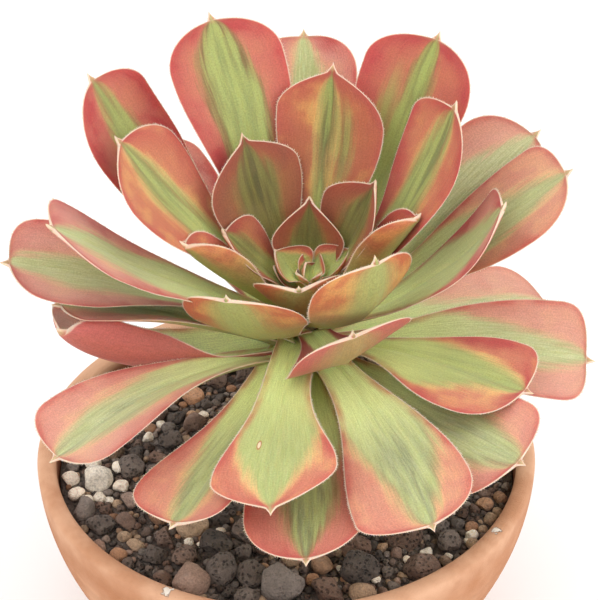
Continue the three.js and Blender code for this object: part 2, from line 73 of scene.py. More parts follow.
# Each row: name, height on the crown from 0 to 1, azimuth, rise, tip, length, width, and the rest.
LEAVES = [
    ("front_2", 0, 2, -2, -9, 68, 29,
     dict(sweep=-3, roll=10, fold=2, curl=6, neck=1.05, widest=0.77, base=0.36)),
    ("right_3", 0, 116, 2, -17, 68, 28, dict(roll=-4, fold=14, curl=11, widest=0.84, base=0.2)),
    ("back_9", 0, 186, 12, 2, 64, 28, {}),
    ("left_5", 0, 305, 22, -19, 70, 31,
     dict(sweep=6, roll=8, curl=9, bend=0.9, neck=1.35,
          widest=0.84, base=0.2, blunt=2.5, peaked=0.15)),
    ("front_4", 0.02, 44, 3, 4, 67, 31,
     dict(sweep=2, roll=17, fold=5, curl=4, widest=0.84,
          base=0.33, blunt=2.6, peaked=0.15, skew=-0.06)),
    ("right_2", 0.06, 82, 6, -6, 67, 34,
     dict(sweep=3, roll=11, bend=1.2, neck=0.95, widest=0.85, blunt=3, skew=-0.07)),
    ("back_10", 0.06, 155, 16, 8, 64, 28, {}),
    ("left_6", 0.06, 338, 1, -9, 66, 28,
     dict(sweep=-7, roll=17, curl=7, neck=2, widest=0.81, base=0.45,
          blunt=2.8, peaked=0.05, skew=-0.06, shift=-0.01)),
    ("left_4", 0.08, 285, -1, 55, 62, 26,
     dict(sweep=10, roll=20, fold=18, right=85, bend=1.8, base=0.5, blunt=2.4,
          skew=-0.2, shift=-0.04)),
    ("left_3", 0.12, 276, 28, 6, 59, 28,
     dict(sweep=6, fold=14, curl=16, widest=0.84, base=0.2, shift=0.03)),
    ("back_8", 0.12, 222, 18, 26, 68, 30, dict(roll=4, fold=10, widest=0.82)),
    ("back_2", 0.22, 180, 40, 38, 78, 30, dict(roll=-4, fold=12, curl=19, base=0.24)),
    ("right_5", 0.2, 113, 32, 42, 73, 30, dict(roll=14, fold=12, curl=20, base=0.2)),
    ("left_2", 0.24, 270, 26, 15, 73, 32,
     dict(sweep=12, roll=-6, curl=12, neck=2, widest=0.78, base=0.18,
          blunt=2.8, skew=0.07, shift=-0.05)),
    ("right_1", 0.2, 60, 14, -5, 58, 32,
     dict(fold=3, curl=2, bend=1.2, neck=1.4, widest=0.79, base=0.2,
          blunt=2.5, peaked=0.2, skew=-0.07, shift=0.05)),
    ("front_3", 0.24, 28, 3, -9, 72, 29,
     dict(sweep=-12, roll=15, fold=3, curl=2, neck=1.4, widest=0.84,
          base=0.29, blunt=2.4, peaked=0.1, skew=-0.1, shift=-0.03)),
    ("front_1", 0.3, 349, 10, -12, 66, 29,
     dict(sweep=10, roll=9, fold=2, curl=3, neck=2.4, widest=0.83,
          base=0.38, blunt=2, peaked=0.7, skew=0.03, shift=-0.02)),
    ("right_4", 0.3, 96, 32, 41, 73.5, 28,
     dict(sweep=-4, roll=12, fold=4, curl=2, bend=1.3, widest=0.83,
          base=0.18, blunt=2.4, peaked=0.1, shift=0.04)),
    ("left_1", 0.34, 282, 32, 40, 72, 35,
     dict(sweep=13, fold=2, curl=7, neck=2, widest=0.85, base=0.4,
          blunt=2, peaked=0.15, skew=0.13, shift=-0.02)),
    ("back_6", 0.38, 247, 40, 56, 78, 30,
     dict(roll=-7, fold=4, curl=8, bend=1.15, base=0.2, peaked=0.2, skew=0.09, shift=-0.06)),
    ("back_3", 0.38, 138, 45, 60, 76, 33,
     dict(sweep=3, curl=9, bend=1.1, widest=0.81, peaked=0.1, shift=0.03)),
    ("back_1", 0.38, 210, 58, 54, 77, 32,
     dict(fold=10, widest=0.82, base=0.2, peaked=0.15, skew=0.06)),
    ("right_7", 0.4, 79, 20, 66, 61, 25,
     dict(roll=4, fold=3, curl=4, widest=0.82, peaked=0.2, shift=0.05)),
    ("inner_8", 0.36, 22, 7, 88, 36, 33,
     dict(sweep=-4, roll=12, fold=7, curl=-8, bend=1.8, widest=0.7, blunt=3.6, skew=0.06)),
    ("inner_7", 0.42, 319, 18, 80, 35, 31,
     dict(roll=22, fold=6, curl=-6, bend=1.5, widest=0.72, base=0.3, blunt=3.4, skew=0.15)),
    ("back_7", 0.48, 265, 45, 55, 64, 33,
     dict(roll=-11, fold=6, curl=6, bend=1.15, neck=1.5, widest=0.79,
          base=0.2, blunt=1.9, peaked=0.1, skew=0.06)),
    ("right_6", 0.5, 102, 46, 73, 64, 29,
     dict(sweep=12, fold=4, curl=5, bend=1.2, widest=0.78, base=0.18, peaked=0.25, shift=0.06)),
    ("inner_6", 0.5, 35, 30, 103, 43, 29,
     dict(fold=12, curl=2, bend=2, widest=0.74, base=0.32, blunt=2.8, skew=-0.09)),
    ("back_4", 0.54, 169, 57, 60, 59, 28,
     dict(roll=-4, widest=0.75, peaked=0.95, skew=-0.09, shift=0.04)),
    ("back_5", 0.6, 222, 54, 70, 44, 27,
     dict(roll=-7, fold=6, curl=10, bend=0.9, widest=0.7, base=0.2, peaked=1, skew=0.08,
          shift=-0.04)),
    ("inner_1", 0.6, 284, 36, 46, 37, 17,
     dict(fold=30, curl=22, right=30, widest=0.74, base=0.3, skew=0.2)),
    ("inner_9", 0.6, 352, 36, 80, 24, 23,
     dict(sweep=4, roll=10, fold=26, curl=8, bend=1.8, widest=0.74, base=0.4, blunt=3)),
    ("inner_5", 0.66, 83, 44, 55, 37, 16,
     dict(fold=30, curl=22, left=30, widest=0.74, base=0.3, skew=-0.2)),
    ("inner_4", 0.7, 110, 60, 70, 34, 24,
     dict(roll=8, fold=13, curl=16, widest=0.68, base=0.2, blunt=1.7, peaked=0.4)),
    ("inner_2", 0.74, 271, 46, 50, 27, 19,
     dict(roll=-8, fold=10, curl=22, widest=0.74, base=0.2, blunt=1.9, peaked=0.2)),
    ("inner_3", 0.68, 177, 66, 90, 26, 20,
     dict(fold=18, curl=24, bend=0.7, widest=0.6, base=0.4, blunt=1.7, peaked=0.9)),
]

# The leaves of the bud in the middle, which grow together round the end of the stem.
BUD_LEAVES = [
    ("bud_1", 0.86, 259, 44, 60, 13, 16,
     dict(roll=-34, fold=28, curl=44, widest=0.6, base=0.4, peaked=0.5)),
    ("bud_2", 0.88, 99, 36, 60, 14, 13,
     dict(roll=24, fold=28, curl=42, widest=0.6, base=0.4, peaked=0.6)),
    ("bud_3", 0.84, 92, 24, 66, 17, 7, dict(fold=20, curl=10, widest=0.7, base=0.4, peaked=0.5)),
    ("bud_4", 0.93, 156, 78, 56, 8, 9,
     dict(sweep=-40, roll=30, fold=24, curl=34, widest=0.55, base=0.6, peaked=0.5)),
    ("bud_6", 0.84, 270, 14, 70, 11, 7, dict(fold=4, curl=6, widest=0.6, base=0.4, peaked=0.5)),
    ("bud_5", 0.96, 235, 78, 96, 5, 7, dict(fold=10, curl=34, widest=0.55, base=0.6, peaked=0.5)),
    ("bud_7", 0.97, 70, 40, 64, 4, 5, dict(fold=10, curl=30, widest=0.55, base=0.6, peaked=0.5)),
    ("bud_8", 0.92, 290, 44, 70, 5, 6, dict(fold=10, curl=30, widest=0.55, base=0.6, peaked=0.4)),
]

# How a leaf is coloured, each from 0 to 1 unless said otherwise. pink: margins from orange to
# pink. flush: crimson along the margins. glow: yellow between band and margin. brown: streaks
# there. deep: the darker colour of the young leaves, with painted shade of the crown's interior
# laid over it, strongest towards their feet. pale: bleaching. dark: darkness of the green band.
# band: the band's half width. aside: how far it lies beside the midrib, from -1 to 1. reach: how
# far up the blade the green fills it. second, second_at: half width and place of a second green
# stripe. belly: how green the underside's middle is.
PLAIN_LOOK = dict(
    pink=0.5, flush=0.35, glow=0.3, brown=0.3, deep=0, pale=0, dark=0.4, band=0.36, aside=0,
    reach=0.65, second=0, second_at=0, belly=1)
LOOKS = {
    "front_1": dict(pink=0.2, flush=0.25, glow=0.8, brown=0.1, dark=0.2, band=0.46, pale=0.3,
                    reach=0.9),
    "front_2": dict(pink=0.75, flush=0.4, glow=0.1, brown=0.5, dark=0.9, band=0.42, pale=0.3,
                    reach=0.7),
    "front_3": dict(pink=0.3, flush=0.15, glow=0.5, dark=0.9, band=0.44, pale=0.5, aside=0.12,
                    reach=0.85),
    "front_4": dict(pink=0.8, flush=0.2, dark=0.8, band=0.5, pale=0.6, reach=0.85),
    "left_1": dict(pink=0.85, flush=0.4, brown=0.2, dark=0.25, band=0.42, pale=0.5, reach=0.75),
    "left_2": dict(pink=0.9, brown=0.1, dark=0.2, band=0.4, pale=0.75),
    # left_3 and left_4 are bleached, and their pale is set higher still as painted light in the
    # shade between and inside the leaves.
    "left_3": dict(flush=0.1, brown=0, dark=0, band=0.4, pale=1, reach=0.6),
    "left_4": dict(pink=1, flush=0.3, glow=0, brown=0, dark=0.1, band=0.6, pale=1, reach=0.8,
                   belly=0.05),
    "left_5": dict(pink=0.6, flush=0.2, glow=0.45, brown=0.2, dark=0.85, band=0.42, pale=0.7),
    "left_6": dict(pink=0.45, flush=0.25, glow=0.4, brown=0.2, dark=0.7, pale=0.4, reach=0.75),
    "right_1": dict(pink=0.4, flush=0.6, glow=0.7, brown=0.2, dark=0.3, pale=0.2, reach=0.8),
    "right_2": dict(flush=0.15, brown=0.2, dark=0.2, band=0.34, pale=0.8, aside=0.1, reach=0.75),
    "right_3": dict(pink=0.3, flush=0.2, brown=0, dark=0.2, band=0.3, pale=0.85, reach=0.6),
    "right_4": dict(pink=0.2, flush=0.25, glow=0.55, brown=0.1, pale=0.6, reach=0.8),
    "right_5": dict(pink=0.7, flush=0.3, brown=0, dark=0.05, band=0.5, pale=1, reach=0.85),
    "right_6": dict(pink=0.4, flush=0.5, glow=0.35, dark=0.6, band=0.34, pale=0.1),
    "right_7": dict(pink=1, flush=0.7, glow=0.2, dark=0.2, band=0.5, pale=0.4, reach=0.85),
    "back_1": dict(pink=0.85, flush=0.8, glow=0.1, brown=0.9, band=0.5, pale=0.1, reach=0.5),
    "back_2": dict(pink=0.9, flush=0.5, brown=0, dark=0.1, pale=0.6, reach=0.6),
    "back_3": dict(pink=0.75, flush=0.95, glow=0.1, brown=0.5, dark=0.35, band=0.26, reach=0.7,
                   second=0.08, second_at=0.4),
    "back_4": dict(pink=0.3, flush=0.4, glow=0.75, dark=0.8, band=0.14, deep=0.3, reach=0.3,
                   second=0.1, second_at=-0.34),
    "back_5": dict(flush=0.8, dark=0.9, band=0.4, deep=0.95, reach=0.5),
    "back_6": dict(pink=0.85, flush=0.95, glow=0.15, brown=0.4, dark=0.25, band=0.38, pale=0.1,
                   reach=0.5),
    "back_7": dict(pink=0.2, flush=0.3, glow=0.7, brown=0.4, band=0.26, pale=0.15, reach=0.6),
    "back_8": dict(pink=1, flush=0.5, brown=0, dark=0.1, band=0.3, pale=0.7, reach=0.5),
    "back_9": dict(pink=0.8, dark=0.3, band=0.34, pale=0.4),
    "back_10": dict(pink=0.6, dark=0.3, band=0.34, pale=0.4),
    "inner_1": dict(pink=0.1, flush=0.4, glow=0.8, brown=0, dark=0.3, band=0.2, pale=0.1,
                    reach=0.5),
    "inner_2": dict(flush=0.7, dark=0.6, band=0.34, deep=0.6, reach=0.6),
    "inner_3": dict(pink=0.4, flush=0.6, dark=0.7, band=0.3, deep=0.75, reach=0.7),
    "inner_4": dict(flush=0.8, dark=0.8, deep=0.8, reach=0.6),
    "inner_5": dict(pink=0.3, flush=0.6, glow=0.6, brown=0, band=0.3, reach=0.6),
    "inner_6": dict(pink=0.15, flush=0.4, glow=0.9, brown=0, dark=0.5, band=0.26, deep=0.1,
                    reach=0.5),
    "inner_7": dict(pink=0.3, flush=0.6, glow=0.7, brown=0, band=0.24, reach=0.5),
    "inner_8": dict(pink=1, flush=0.4, glow=0.1, brown=0, dark=0.2, band=0.2, pale=0.4, reach=0.45,
                    belly=0.6),
    "inner_9": dict(pink=0.3, flush=0.6, glow=0.5, brown=0, dark=0.7, band=0.3, deep=0.2,
                    reach=0.5),
    "bud": dict(pink=0.3, glow=1, brown=0, dark=0.05, band=0.28, pale=0.2, reach=0.8),
}

# Stones that stand out in the grit: kind, place across and towards the back, and width.
KEY_STONES = [
    ("pumice", -48, -7, 8), ("pumice", -55, -6, 5), ("pumice", -53, -12, 4.6),
    ("pumice", -50, -15, 4), ("pumice", -43, -1, 4.5), ("pumice", -42, -9, 4.6),
    ("pumice", -47, -13, 3.8), ("pumice", -50, 0, 5), ("pumice", -38, 40, 5),
    ("pumice", -18, 52, 4), ("slate", -39, -15, 6),
    ("lava", -46, -24, 8.5), ("slate", -51, -18, 8.5), ("clay", -40, -28, 4), ("clay", -37, -31, 5),
    ("clay", -41, -35, 5), ("lava", -32, -35, 7), ("lava", -25, -36, 7.5), ("slate", -23, -45, 10),
    ("lava", -17, -31, 9), ("lava", -16, -41, 10), ("lava", -8, -42, 8.5), ("slate", -1, -46, 12.5),
    ("lava", -40, -2, 8.5), ("lava", -33, 2, 5.5), ("lava", -30, 9, 8), ("slate", -24, 16, 7),
    ("lava", -29, 19, 5.5), ("clay", -15, 32, 3), ("clay", 54, -13, 4), ("clay", 50, -16, 4.6),
    ("clay", 51, -21, 4), ("clay", 46, -24, 4), ("clay", 49, -25, 3), ("slate", 43, -23, 4.5),
    ("clay", 46, -31, 3.6), ("lava", 18, -41, 10), ("lava", 10, -49, 9.5), ("lava", 33, -41, 10),
    ("lava", 29, -28, 10), ("lava", 40, -31, 7), ("slate", 26, -46, 4), ("clay", 6, -54, 3),
]

# The kinds of stones: share, flat faces of a stone, roughness and pits.
STONE_KINDS = {
    "lava": (0.62, 9, 0.10, 0.9), "slate": (0.14, 11, 0.04, 0.25),
    "clay": (0.19, 4, 0.05, 0.25), "pumice": (0.05, 6, 0.07, 0.2),
}
# Scattered stones from large to small, in millimetres: how many, least and greatest radius, and how
# far apart they lie as a share of both radii. Then how finely a stone is cut, by its radius: from,
# to, steps. TRIES is how often a stone is thrown before it's left out, and WALL_GAP how far all
# of them stay from the pan.
STONE_THROWS = ((90, 3.0, 4.8, 0.92), (260, 1.7, 2.9, 0.86), (1500, 0.8, 1.6, 0.72))
STONE_STEPS = ((3.0, 9, 4), (1.65, 3.0, 3), (0, 1.65, 2))
TRIES, WALL_GAP = 30, 0.4

# Stem and crown, in millimetres, as in the solids. The stem narrows by STEM_TAPER up to the crown,
# then stays CONE_INSET inside the crown's cone as far as HEART_START, a height from 0 to 1.
STEM_FOOT = np.array([2.5, 1.0, 38.0])
CROWN = np.array([4.0, 0.0, 87.0])
HEART = np.array([6.0, 0.0, 108.0])
STEM_RADIUS, CROWN_RADIUS, HEART_RADIUS, BUD_FOOT_RADIUS = 5.6, 5.5, 1.5, 0.6
STEM_TAPER, CONE_INSET = 0.6, 0.5
STEM_IN_GRIT = (2.6, 0.8)
HEART_START = 0.86

# Leaves, in millimetres: the point at the end, the length below which all is finer, how far a blade
# swells and over what length, its groove, its thickness at the foot, and the teeth.
POINT_LENGTH, POINT_HALF_WIDTH, SMALL_LEAF = 2.4, 1.3, 45
SWELL, SWELL_LENGTH, GROOVE, GROOVE_WIDTH, FOOT_THICKNESS = 0.45, 34, 0.3, 0.9, 2.0
TOOTH_ROOT, TOOTH_WIDTH = 0.12, 0.3
LEAF_COLUMNS = ("name", "height", "azimuth", "rise", "tip", "length", "width")

# The pan, in metres: how far the rim's crown stands up, rounding of the foot and of the well, and
# the drain holes; the play between grit and wall, and under the grit; and the swells of the bed,
# each with its height, its seed and its length in millimetres.
RIM_CROWN, FOOT_ROUND, FOOT_BEVEL, FOOT_EDGE = 0.0016, 0.0012, 0.0003, 0.0009
WELL_RISE = 0.002
DRAIN_RADIUS, DRAIN_DEPTH, DRAIN_CIRCLE, DRAIN_TURNS = 0.004, 0.03, 0.022, (30, 150, 270)
GRIT_PLAY, GRIT_LIFT = 0.0003, 0.0004
BED_WAVES = ((0.0005, 5, 6.0), (0.0003, 6, 2.0))

# Colours of marks on the leaves, the stones and the clay.
BLEACHED_MARGIN, BLEACHED_FLANK = (0.84, 0.54, 0.43), (0.84, 0.54, 0.42)
# The first is the pale lime of bleached leaves' bases, brightened further as painted light; the
# second is the point's own colour.
BLEACHED_BASE_AND_LIGHT, TIP_STRAW = (0.84, 0.93, 0.43), (0.66, 0.60, 0.30)
# The next two darken the deep leaves: partly their own darker colour, partly painted shade of the
# crown's interior.
DEEP_AND_PAINTED_SHADE, DEEP_OLIVE_AND_SHADE = (0.50, 0.42, 0.33), (0.20, 0.155, 0.06)
SCAR_BROWN, SCAR_TAN, SPECK_BLACK = (0.45, 0.20, 0.08), (0.80, 0.62, 0.42), (0.07, 0.05, 0.03)
RUST, PUMICE_DUST, BARK = (1.35, 0.92, 0.72), (0.74, 0.62, 0.46), (0.42, 0.32, 0.19)
# The first of these is painted shade on the pan's inner wall; the second is a real lime stain.
INNER_WALL_SHADE, LIME_STAIN = (0.42, 0.30, 0.24), (0.70, 0.56, 0.45)
CHIP_PALE = (0.88, 0.80, 0.70)

# The round scar on one leaf, in millimetres across and along it, and its half widths. NO_SCAR lies
# off every leaf.
SCARRED_LEAF, SCAR_PLACE, NO_SCAR, SCAR_SIZE = "front_1", (-4.6, 44.5), (400, 0), (0.55, 1.3)

# Chips on the rim, in metres: the circle they lie on, its height, and each one's turn and size.
CHIP_CIRCLE, CHIP_HEIGHT = 0.0612, 0.0556
RIM_CHIPS = ((-117, 0.0016), (-33, 0.0012))

# How deep the bumps of each skin are, in metres, and a leaf's gloss. Then what a node group gives.
LEAF_RELIEF = 0.00016
CLAY_RELIEF, BED_RELIEF, STONE_RELIEF, BARK_RELIEF = 0.0003, 0.0009, 0.0006, 0.0004
LEAF_GLOSS = {
    "Sheen Weight": 0.05, "Sheen Roughness": 0.4, "Specular IOR Level": 0.22,
    "Subsurface Weight": 0.35, "Subsurface Scale": 0.0015,
}
GROUP_OUTPUTS = {"Colour": "Color", "Roughness": "Float", "Height": "Float"}

# The stage, in metres: half the floor, its drop, the point the camera looks at, its sensor in
# millimetres, the height the lamps aim at, and each lamp's name, place, width and power.
FLOOR_HALF, FLOOR_DROP = 6.0, 0.0002
CAMERA_AIM, CAMERA_SENSOR = (0.0035, 0, 0.1013), 36.0
LAMP_AIM, SKY_LIGHT = 0.09, 1.15
LAMPS = (("key", (-0.35, -0.30, 0.80), 0.6, 1.85), ("fill", (0.55, -0.25, 0.55), 0.6, 2.0))

NO_QUADS, NO_TRIANGLES = np.zeros((0, 4), int), np.zeros((0, 3), int)


# Settings.

def colour_setting(name, description, default):
    """A colour without alpha that a user may change."""
    return bpy.props.FloatVectorProperty(
        name=name, description=description, default=default, size=3, subtype="COLOR",
        min=0, max=1)


def length_setting(name, description, default):
    """A length in metres that a user may change."""
    return bpy.props.FloatProperty(
        name=name, description=description, default=default, min=0, subtype="DISTANCE",
        unit="LENGTH", precision=4)


class LeafSettings(bpy.types.PropertyGroup):
    """Sizes and colours of the leaves."""

    edge: length_setting("Margin thickness", "Thickness of a blade at its margin", 0.00034)
    rib: length_setting("Midrib thickness", "Thickness of a blade along its midrib", 0.0021)
    tooth: length_setting("Tooth length", "Length of the fine teeth on the margins", 0.00042)
    tooth_gap: length_setting("Tooth spacing", "Distance from tooth to tooth", 0.00055)
    lime: colour_setting("Lime", "Green of the leaf bases and young bands", (0.37, 0.41, 0.115))
    # The sprout green is the leaf bases' own lime, made brighter still as painted light.
    sprout: colour_setting("Sprout", "Bright green towards the leaf bases", (0.80, 0.89, 0.30))
    olive: colour_setting("Olive", "Dark green streaks of the band", (0.13, 0.15, 0.05))
    sage: colour_setting("Sage", "Pale green of bleached bands", (0.60, 0.62, 0.36))
    amber: colour_setting("Amber", "Orange patches between band and margin", (0.66, 0.34, 0.11))
    straw: colour_setting("Straw", "Yellow where the green ends", (0.66, 0.47, 0.16))
    coral: colour_setting("Coral", "Margins of the sunny leaves", (0.50, 0.158, 0.066))
    rose: colour_setting("Rose", "Margins of the pink leaves", (0.48, 0.122, 0.092))
    crimson: colour_setting("Crimson", "Flush of the margins, above and below", (0.45, 0.07, 0.065))
    keel: colour_setting("Keel", "Dull green of the undersides", (0.37, 0.38, 0.13))
    seam: colour_setting("Seam", "Brown streaks where band and margin meet", (0.19, 0.125, 0.05))
    rim: colour_setting("Rim", "Pale line and teeth along the margins", (0.90, 0.69, 0.53))


class PanSettings(bpy.types.PropertyGroup):
    """Sizes and colours of the pan."""

    rim_radius: length_setting("Rim radius", "Radius of the pan at its rim", 0.0635)
    height: length_setting("Height", "Height of the pan", 0.056)
    foot_radius: length_setting("Foot radius", "Radius of the flat foot", 0.038)
    wall: length_setting("Wall", "Thickness of the wall", 0.0047)
    base: length_setting("Floor", "Thickness of the floor", 0.006)
    clay: colour_setting("Clay", "Fired clay", (0.45, 0.187, 0.083))
    lime: colour_setting("Lime bloom", "Pale bloom on the clay", (0.74, 0.44, 0.28))


class GritSettings(bpy.types.PropertyGroup):
    """Sizes and colours of the grit."""

    level: length_setting("Level", "Height of the grit's bed", 0.0485)
    seed: bpy.props.IntProperty(name="Seed", description="Seed of the stones", default=4349)
    lava: colour_setting("Lava", "Dark porous stones", (0.150, 0.118, 0.098))
    slate: colour_setting("Slate", "Grey stones", (0.27, 0.225, 0.195))
    clay: colour_setting("Clay grains", "Baked clay grains", (0.42, 0.29, 0.19))
    pumice: colour_setting("Pumice", "Cream pumice", (0.92, 0.84, 0.71))


class StageSettings(bpy.types.PropertyGroup):
    """Camera, light and floor."""

    elevation: bpy.props.FloatProperty(
        name="Elevation", description="Camera's angle above the horizon",
        default=np.radians(35.57), subtype="ANGLE", unit="ROTATION")
    distance: length_setting("Distance", "Camera's distance", 0.55)
    lens: bpy.props.FloatProperty(
        name="Lens", description="Focal length in millimetres", default=135.24, min=10)
    floor: colour_setting("Floor", "Colour of the floor", (0.93, 0.93, 0.93))


# Arrays and meshes.

def smooth(t):
    """Smooth step: 3t^2 - 2t^3 with t held between 0 and 1."""
    t = np.clip(t, 0, 1)
    return t * t * (3 - 2 * t)


def unit(vectors):
    """Vectors drawn out to length 1."""
    return vectors / (np.linalg.norm(vectors, axis=-1, keepdims=True) + 1e-9)


def between(at, stations, values):
    """Each column of values, read off on straight lines between its stations."""
    return np.stack([np.interp(at, stations, column) for column in values.T], -1)


def waves(points, seed, wavelength, count=7):
    """Soft noise from -1 to 1: the mean of count sines of random direction, length and phase."""
    draw = np.random.default_rng(seed)
    ways = draw.normal(size=(count, points.shape[-1]))
    ways *= 2 * np.pi / wavelength / np.linalg.norm(ways, axis=1, keepdims=True)
    ways *= draw.uniform(0.6, 1.6, (count, 1))
    phases = draw.uniform(0, 2 * np.pi, count)
    return np.sin(points @ ways.T + phases).mean(-1) * 1.6


def mesh_piece(name, points, quads, triangles=NO_TRIANGLES, fields=()):
    """A smooth mesh object from corner places in metres, with named vectors at its corners."""
    mesh = bpy.data.meshes.new(name)
    corners = np.concatenate([np.ravel(quads), np.ravel(triangles)]).astype(np.int32)
    starts = np.concatenate([
        np.arange(len(quads)) * 4, len(quads) * 4 + np.arange(len(triangles)) * 3])
    mesh.vertices.add(len(points))
    mesh.vertices.foreach_set("co", points.astype(np.float32).ravel())
    mesh.loops.add(len(corners))
    mesh.loops.foreach_set("vertex_index", corners)
    mesh.polygons.add(len(starts))
    mesh.polygons.foreach_set("loop_start", starts.astype(np.int32))
    mesh.update(calc_edges=True)
    for key, values in dict(fields).items():
        field = mesh.attributes.new(key, "FLOAT_VECTOR", "POINT")
        field.data.foreach_set("vector", values.astype(np.float32).ravel())
    mesh.shade_smooth()
    piece = bpy.data.objects.new(name, mesh)
    bpy.context.scene.collection.objects.link(piece)
    return piece


def finish_piece(piece, material, node=None):
    """Gives a piece its material and slot, lets it ride on the root, and stands it for a node."""
    piece.data.materials.append(material)
    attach(piece, "root")
    if node:
        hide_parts(node)


def capped(rings, first, last, flip=False):
    """Corners, quads and triangles of a row of closed rings, with a pole at each end.

    The faces look outwards where each ring runs against the clock as seen from the last pole. For
    rings that run the other way, flip turns them round.
    """
    rows, sides = rings.shape[:2]
    points = np.vstack([rings.reshape(-1, 3), first, last])
    j = np.arange(sides)
    k = (j + 1) % sides
    i = np.arange(rows - 1)[:, None] * sides
    quads = np.stack([i + k, i + sides + k, i + sides + j, i + j], -1).reshape(-1, 4)
    end, pole = (rows - 1) * sides, 0 * j + rows * sides
    triangles = np.vstack([np.stack([pole, k, j], -1), np.stack([pole + 1, end + j, end + k], -1)])
    if flip:
        quads, triangles = quads[:, ::-1], triangles[:, ::-1]
    return points, quads, triangles


def joined(parts):
    """Several sets of (points, quads, triangles, fields) as one."""
    points, quads, triangles, *fields = zip(*parts)
    shifts = np.cumsum([0, *map(len, points)])
    quads, triangles = (np.vstack([faces + shift for faces, shift in zip(sets, shifts)])
                        for sets in (quads, triangles))
    return np.vstack(points), quads, triangles, *map(np.vstack, fields)


# Leaves.

def leaf_from_row(row):
    """A leaf's whole description from its table row. small is less than 1 for short leaves, and
    end is the share of the length where the rounded blade ends and its point starts."""
    leaf = {**PLAIN_LEAF, **dict(zip(LEAF_COLUMNS, row)), **row[-1]}
    leaf["small"] = min(1, leaf["length"] / SMALL_LEAF)
    leaf["end"] = 1 - POINT_LENGTH / leaf["length"] * leaf["small"]
    leaf["seed"] = sum(ord(letter) * (k + 1) for k, letter in enumerate(leaf["name"]))
    return leaf


def cone_radius(height):
    """The crown's radius at a height from 0 to 1: it narrows evenly from the crown to the heart."""
    return CROWN_RADIUS + (HEART_RADIUS - CROWN_RADIUS) * height


def leaf_foot(leaf):
    """Where the midrib leaves the crown's cone, or the end of the stem for leaves of the bud."""
    height = leaf["height"]
    radius = BUD_FOOT_RADIUS if leaf["name"].startswith("bud") else cone_radius(height)
    turn = np.radians(leaf["azimuth"])
    return CROWN + (HEART - CROWN) * height + radius * np.array([np.sin(turn), -np.cos(turn), 0])


def midrib(leaf, u):
    """Place and axes of the midrib at each u.

    Its direction turns by sweep times u and climbs from rise to tip by u to the power bend; its
    place is the sum of the direction along the length. The blade tips sideways by roll.
    """
    t = np.linspace(0, 1, 121)
    pitch = np.radians(leaf["rise"] + (leaf["tip"] - leaf["rise"]) * t ** leaf["bend"])
    turn = np.radians(leaf["azimuth"] + leaf["sweep"] * t)
    ways = np.stack(
        [np.sin(turn) * np.cos(pitch), -np.cos(turn) * np.cos(pitch), np.sin(pitch)], -1)
    steps = (ways[1:] + ways[:-1]) / 2 * leaf["length"] / 120
    places = leaf_foot(leaf) + np.vstack([np.zeros(3), np.cumsum(steps, 0)])
    place = between(u, t, places)
    along = unit(between(u, t, ways))
    heading = np.interp(u, t, turn)
    level = np.stack([np.cos(heading), np.sin(heading), 0 * heading], -1)
    roll = (np.radians(leaf["roll"]) * np.clip(u / 0.5, 0, 1))[..., None]
    beside = level * np.cos(roll) + np.cross(along, level) * np.sin(roll)
    return place, along, beside, np.cross(along, beside)


def half_width(leaf, u, side):
    """Half the blade's width in millimetres.

    It swells by a raised cosine from base to full at widest, later where neck is more, then closes
    as a blunt ellipse of power blunt, which peaked draws out to a point, and ends in a small spike.
    """
    full = leaf["width"] / 2 * (1 + leaf["skew"] * side)
    widest = leaf["widest"] + leaf["shift"] * side
    end = leaf["end"]
    swell = (1 - np.cos(np.pi * np.clip(u / widest, 0, 1) ** leaf["neck"])) / 2
    lower = leaf["base"] + (1 - leaf["base"]) * swell
    y = np.clip((u - widest) / (end - widest), 0, 1)
    upper = np.clip(1 - y ** leaf["blunt"], 0, 1) ** ((1 + leaf["peaked"]) / leaf["blunt"])
    point = np.minimum(1, np.clip((1 - u) / (1 - end), 0, 3) ** 1.5)
    point = POINT_HALF_WIDTH * leaf["small"] * point
    return np.where(u <= widest, full * lower, np.hypot(full * upper, point))


def section(leaf, u, v):
    """Across and lift in half widths, and slope, at v from -1 to 1 across the blade.

    The blade is folded at the midrib by fold, and each half is an arc whose slope grows by curl.
    """
    extra = np.where(v > 0, leaf["right"], leaf["left"]) * smooth((u - 0.25) / 0.35)
    fold = np.radians(leaf["fold"] * (1.25 - 0.5 * u))
    curl = np.radians(leaf["curl"] * (0.35 + 0.65 * np.clip(u / 0.35, 0, 1)) + extra)
    slope = fold + curl * np.abs(v)
    side = np.sign(v)
    across = side * (np.sin(slope) - np.sin(fold)) / curl
    return across, (np.cos(fold) - np.cos(slope)) / curl, side * slope


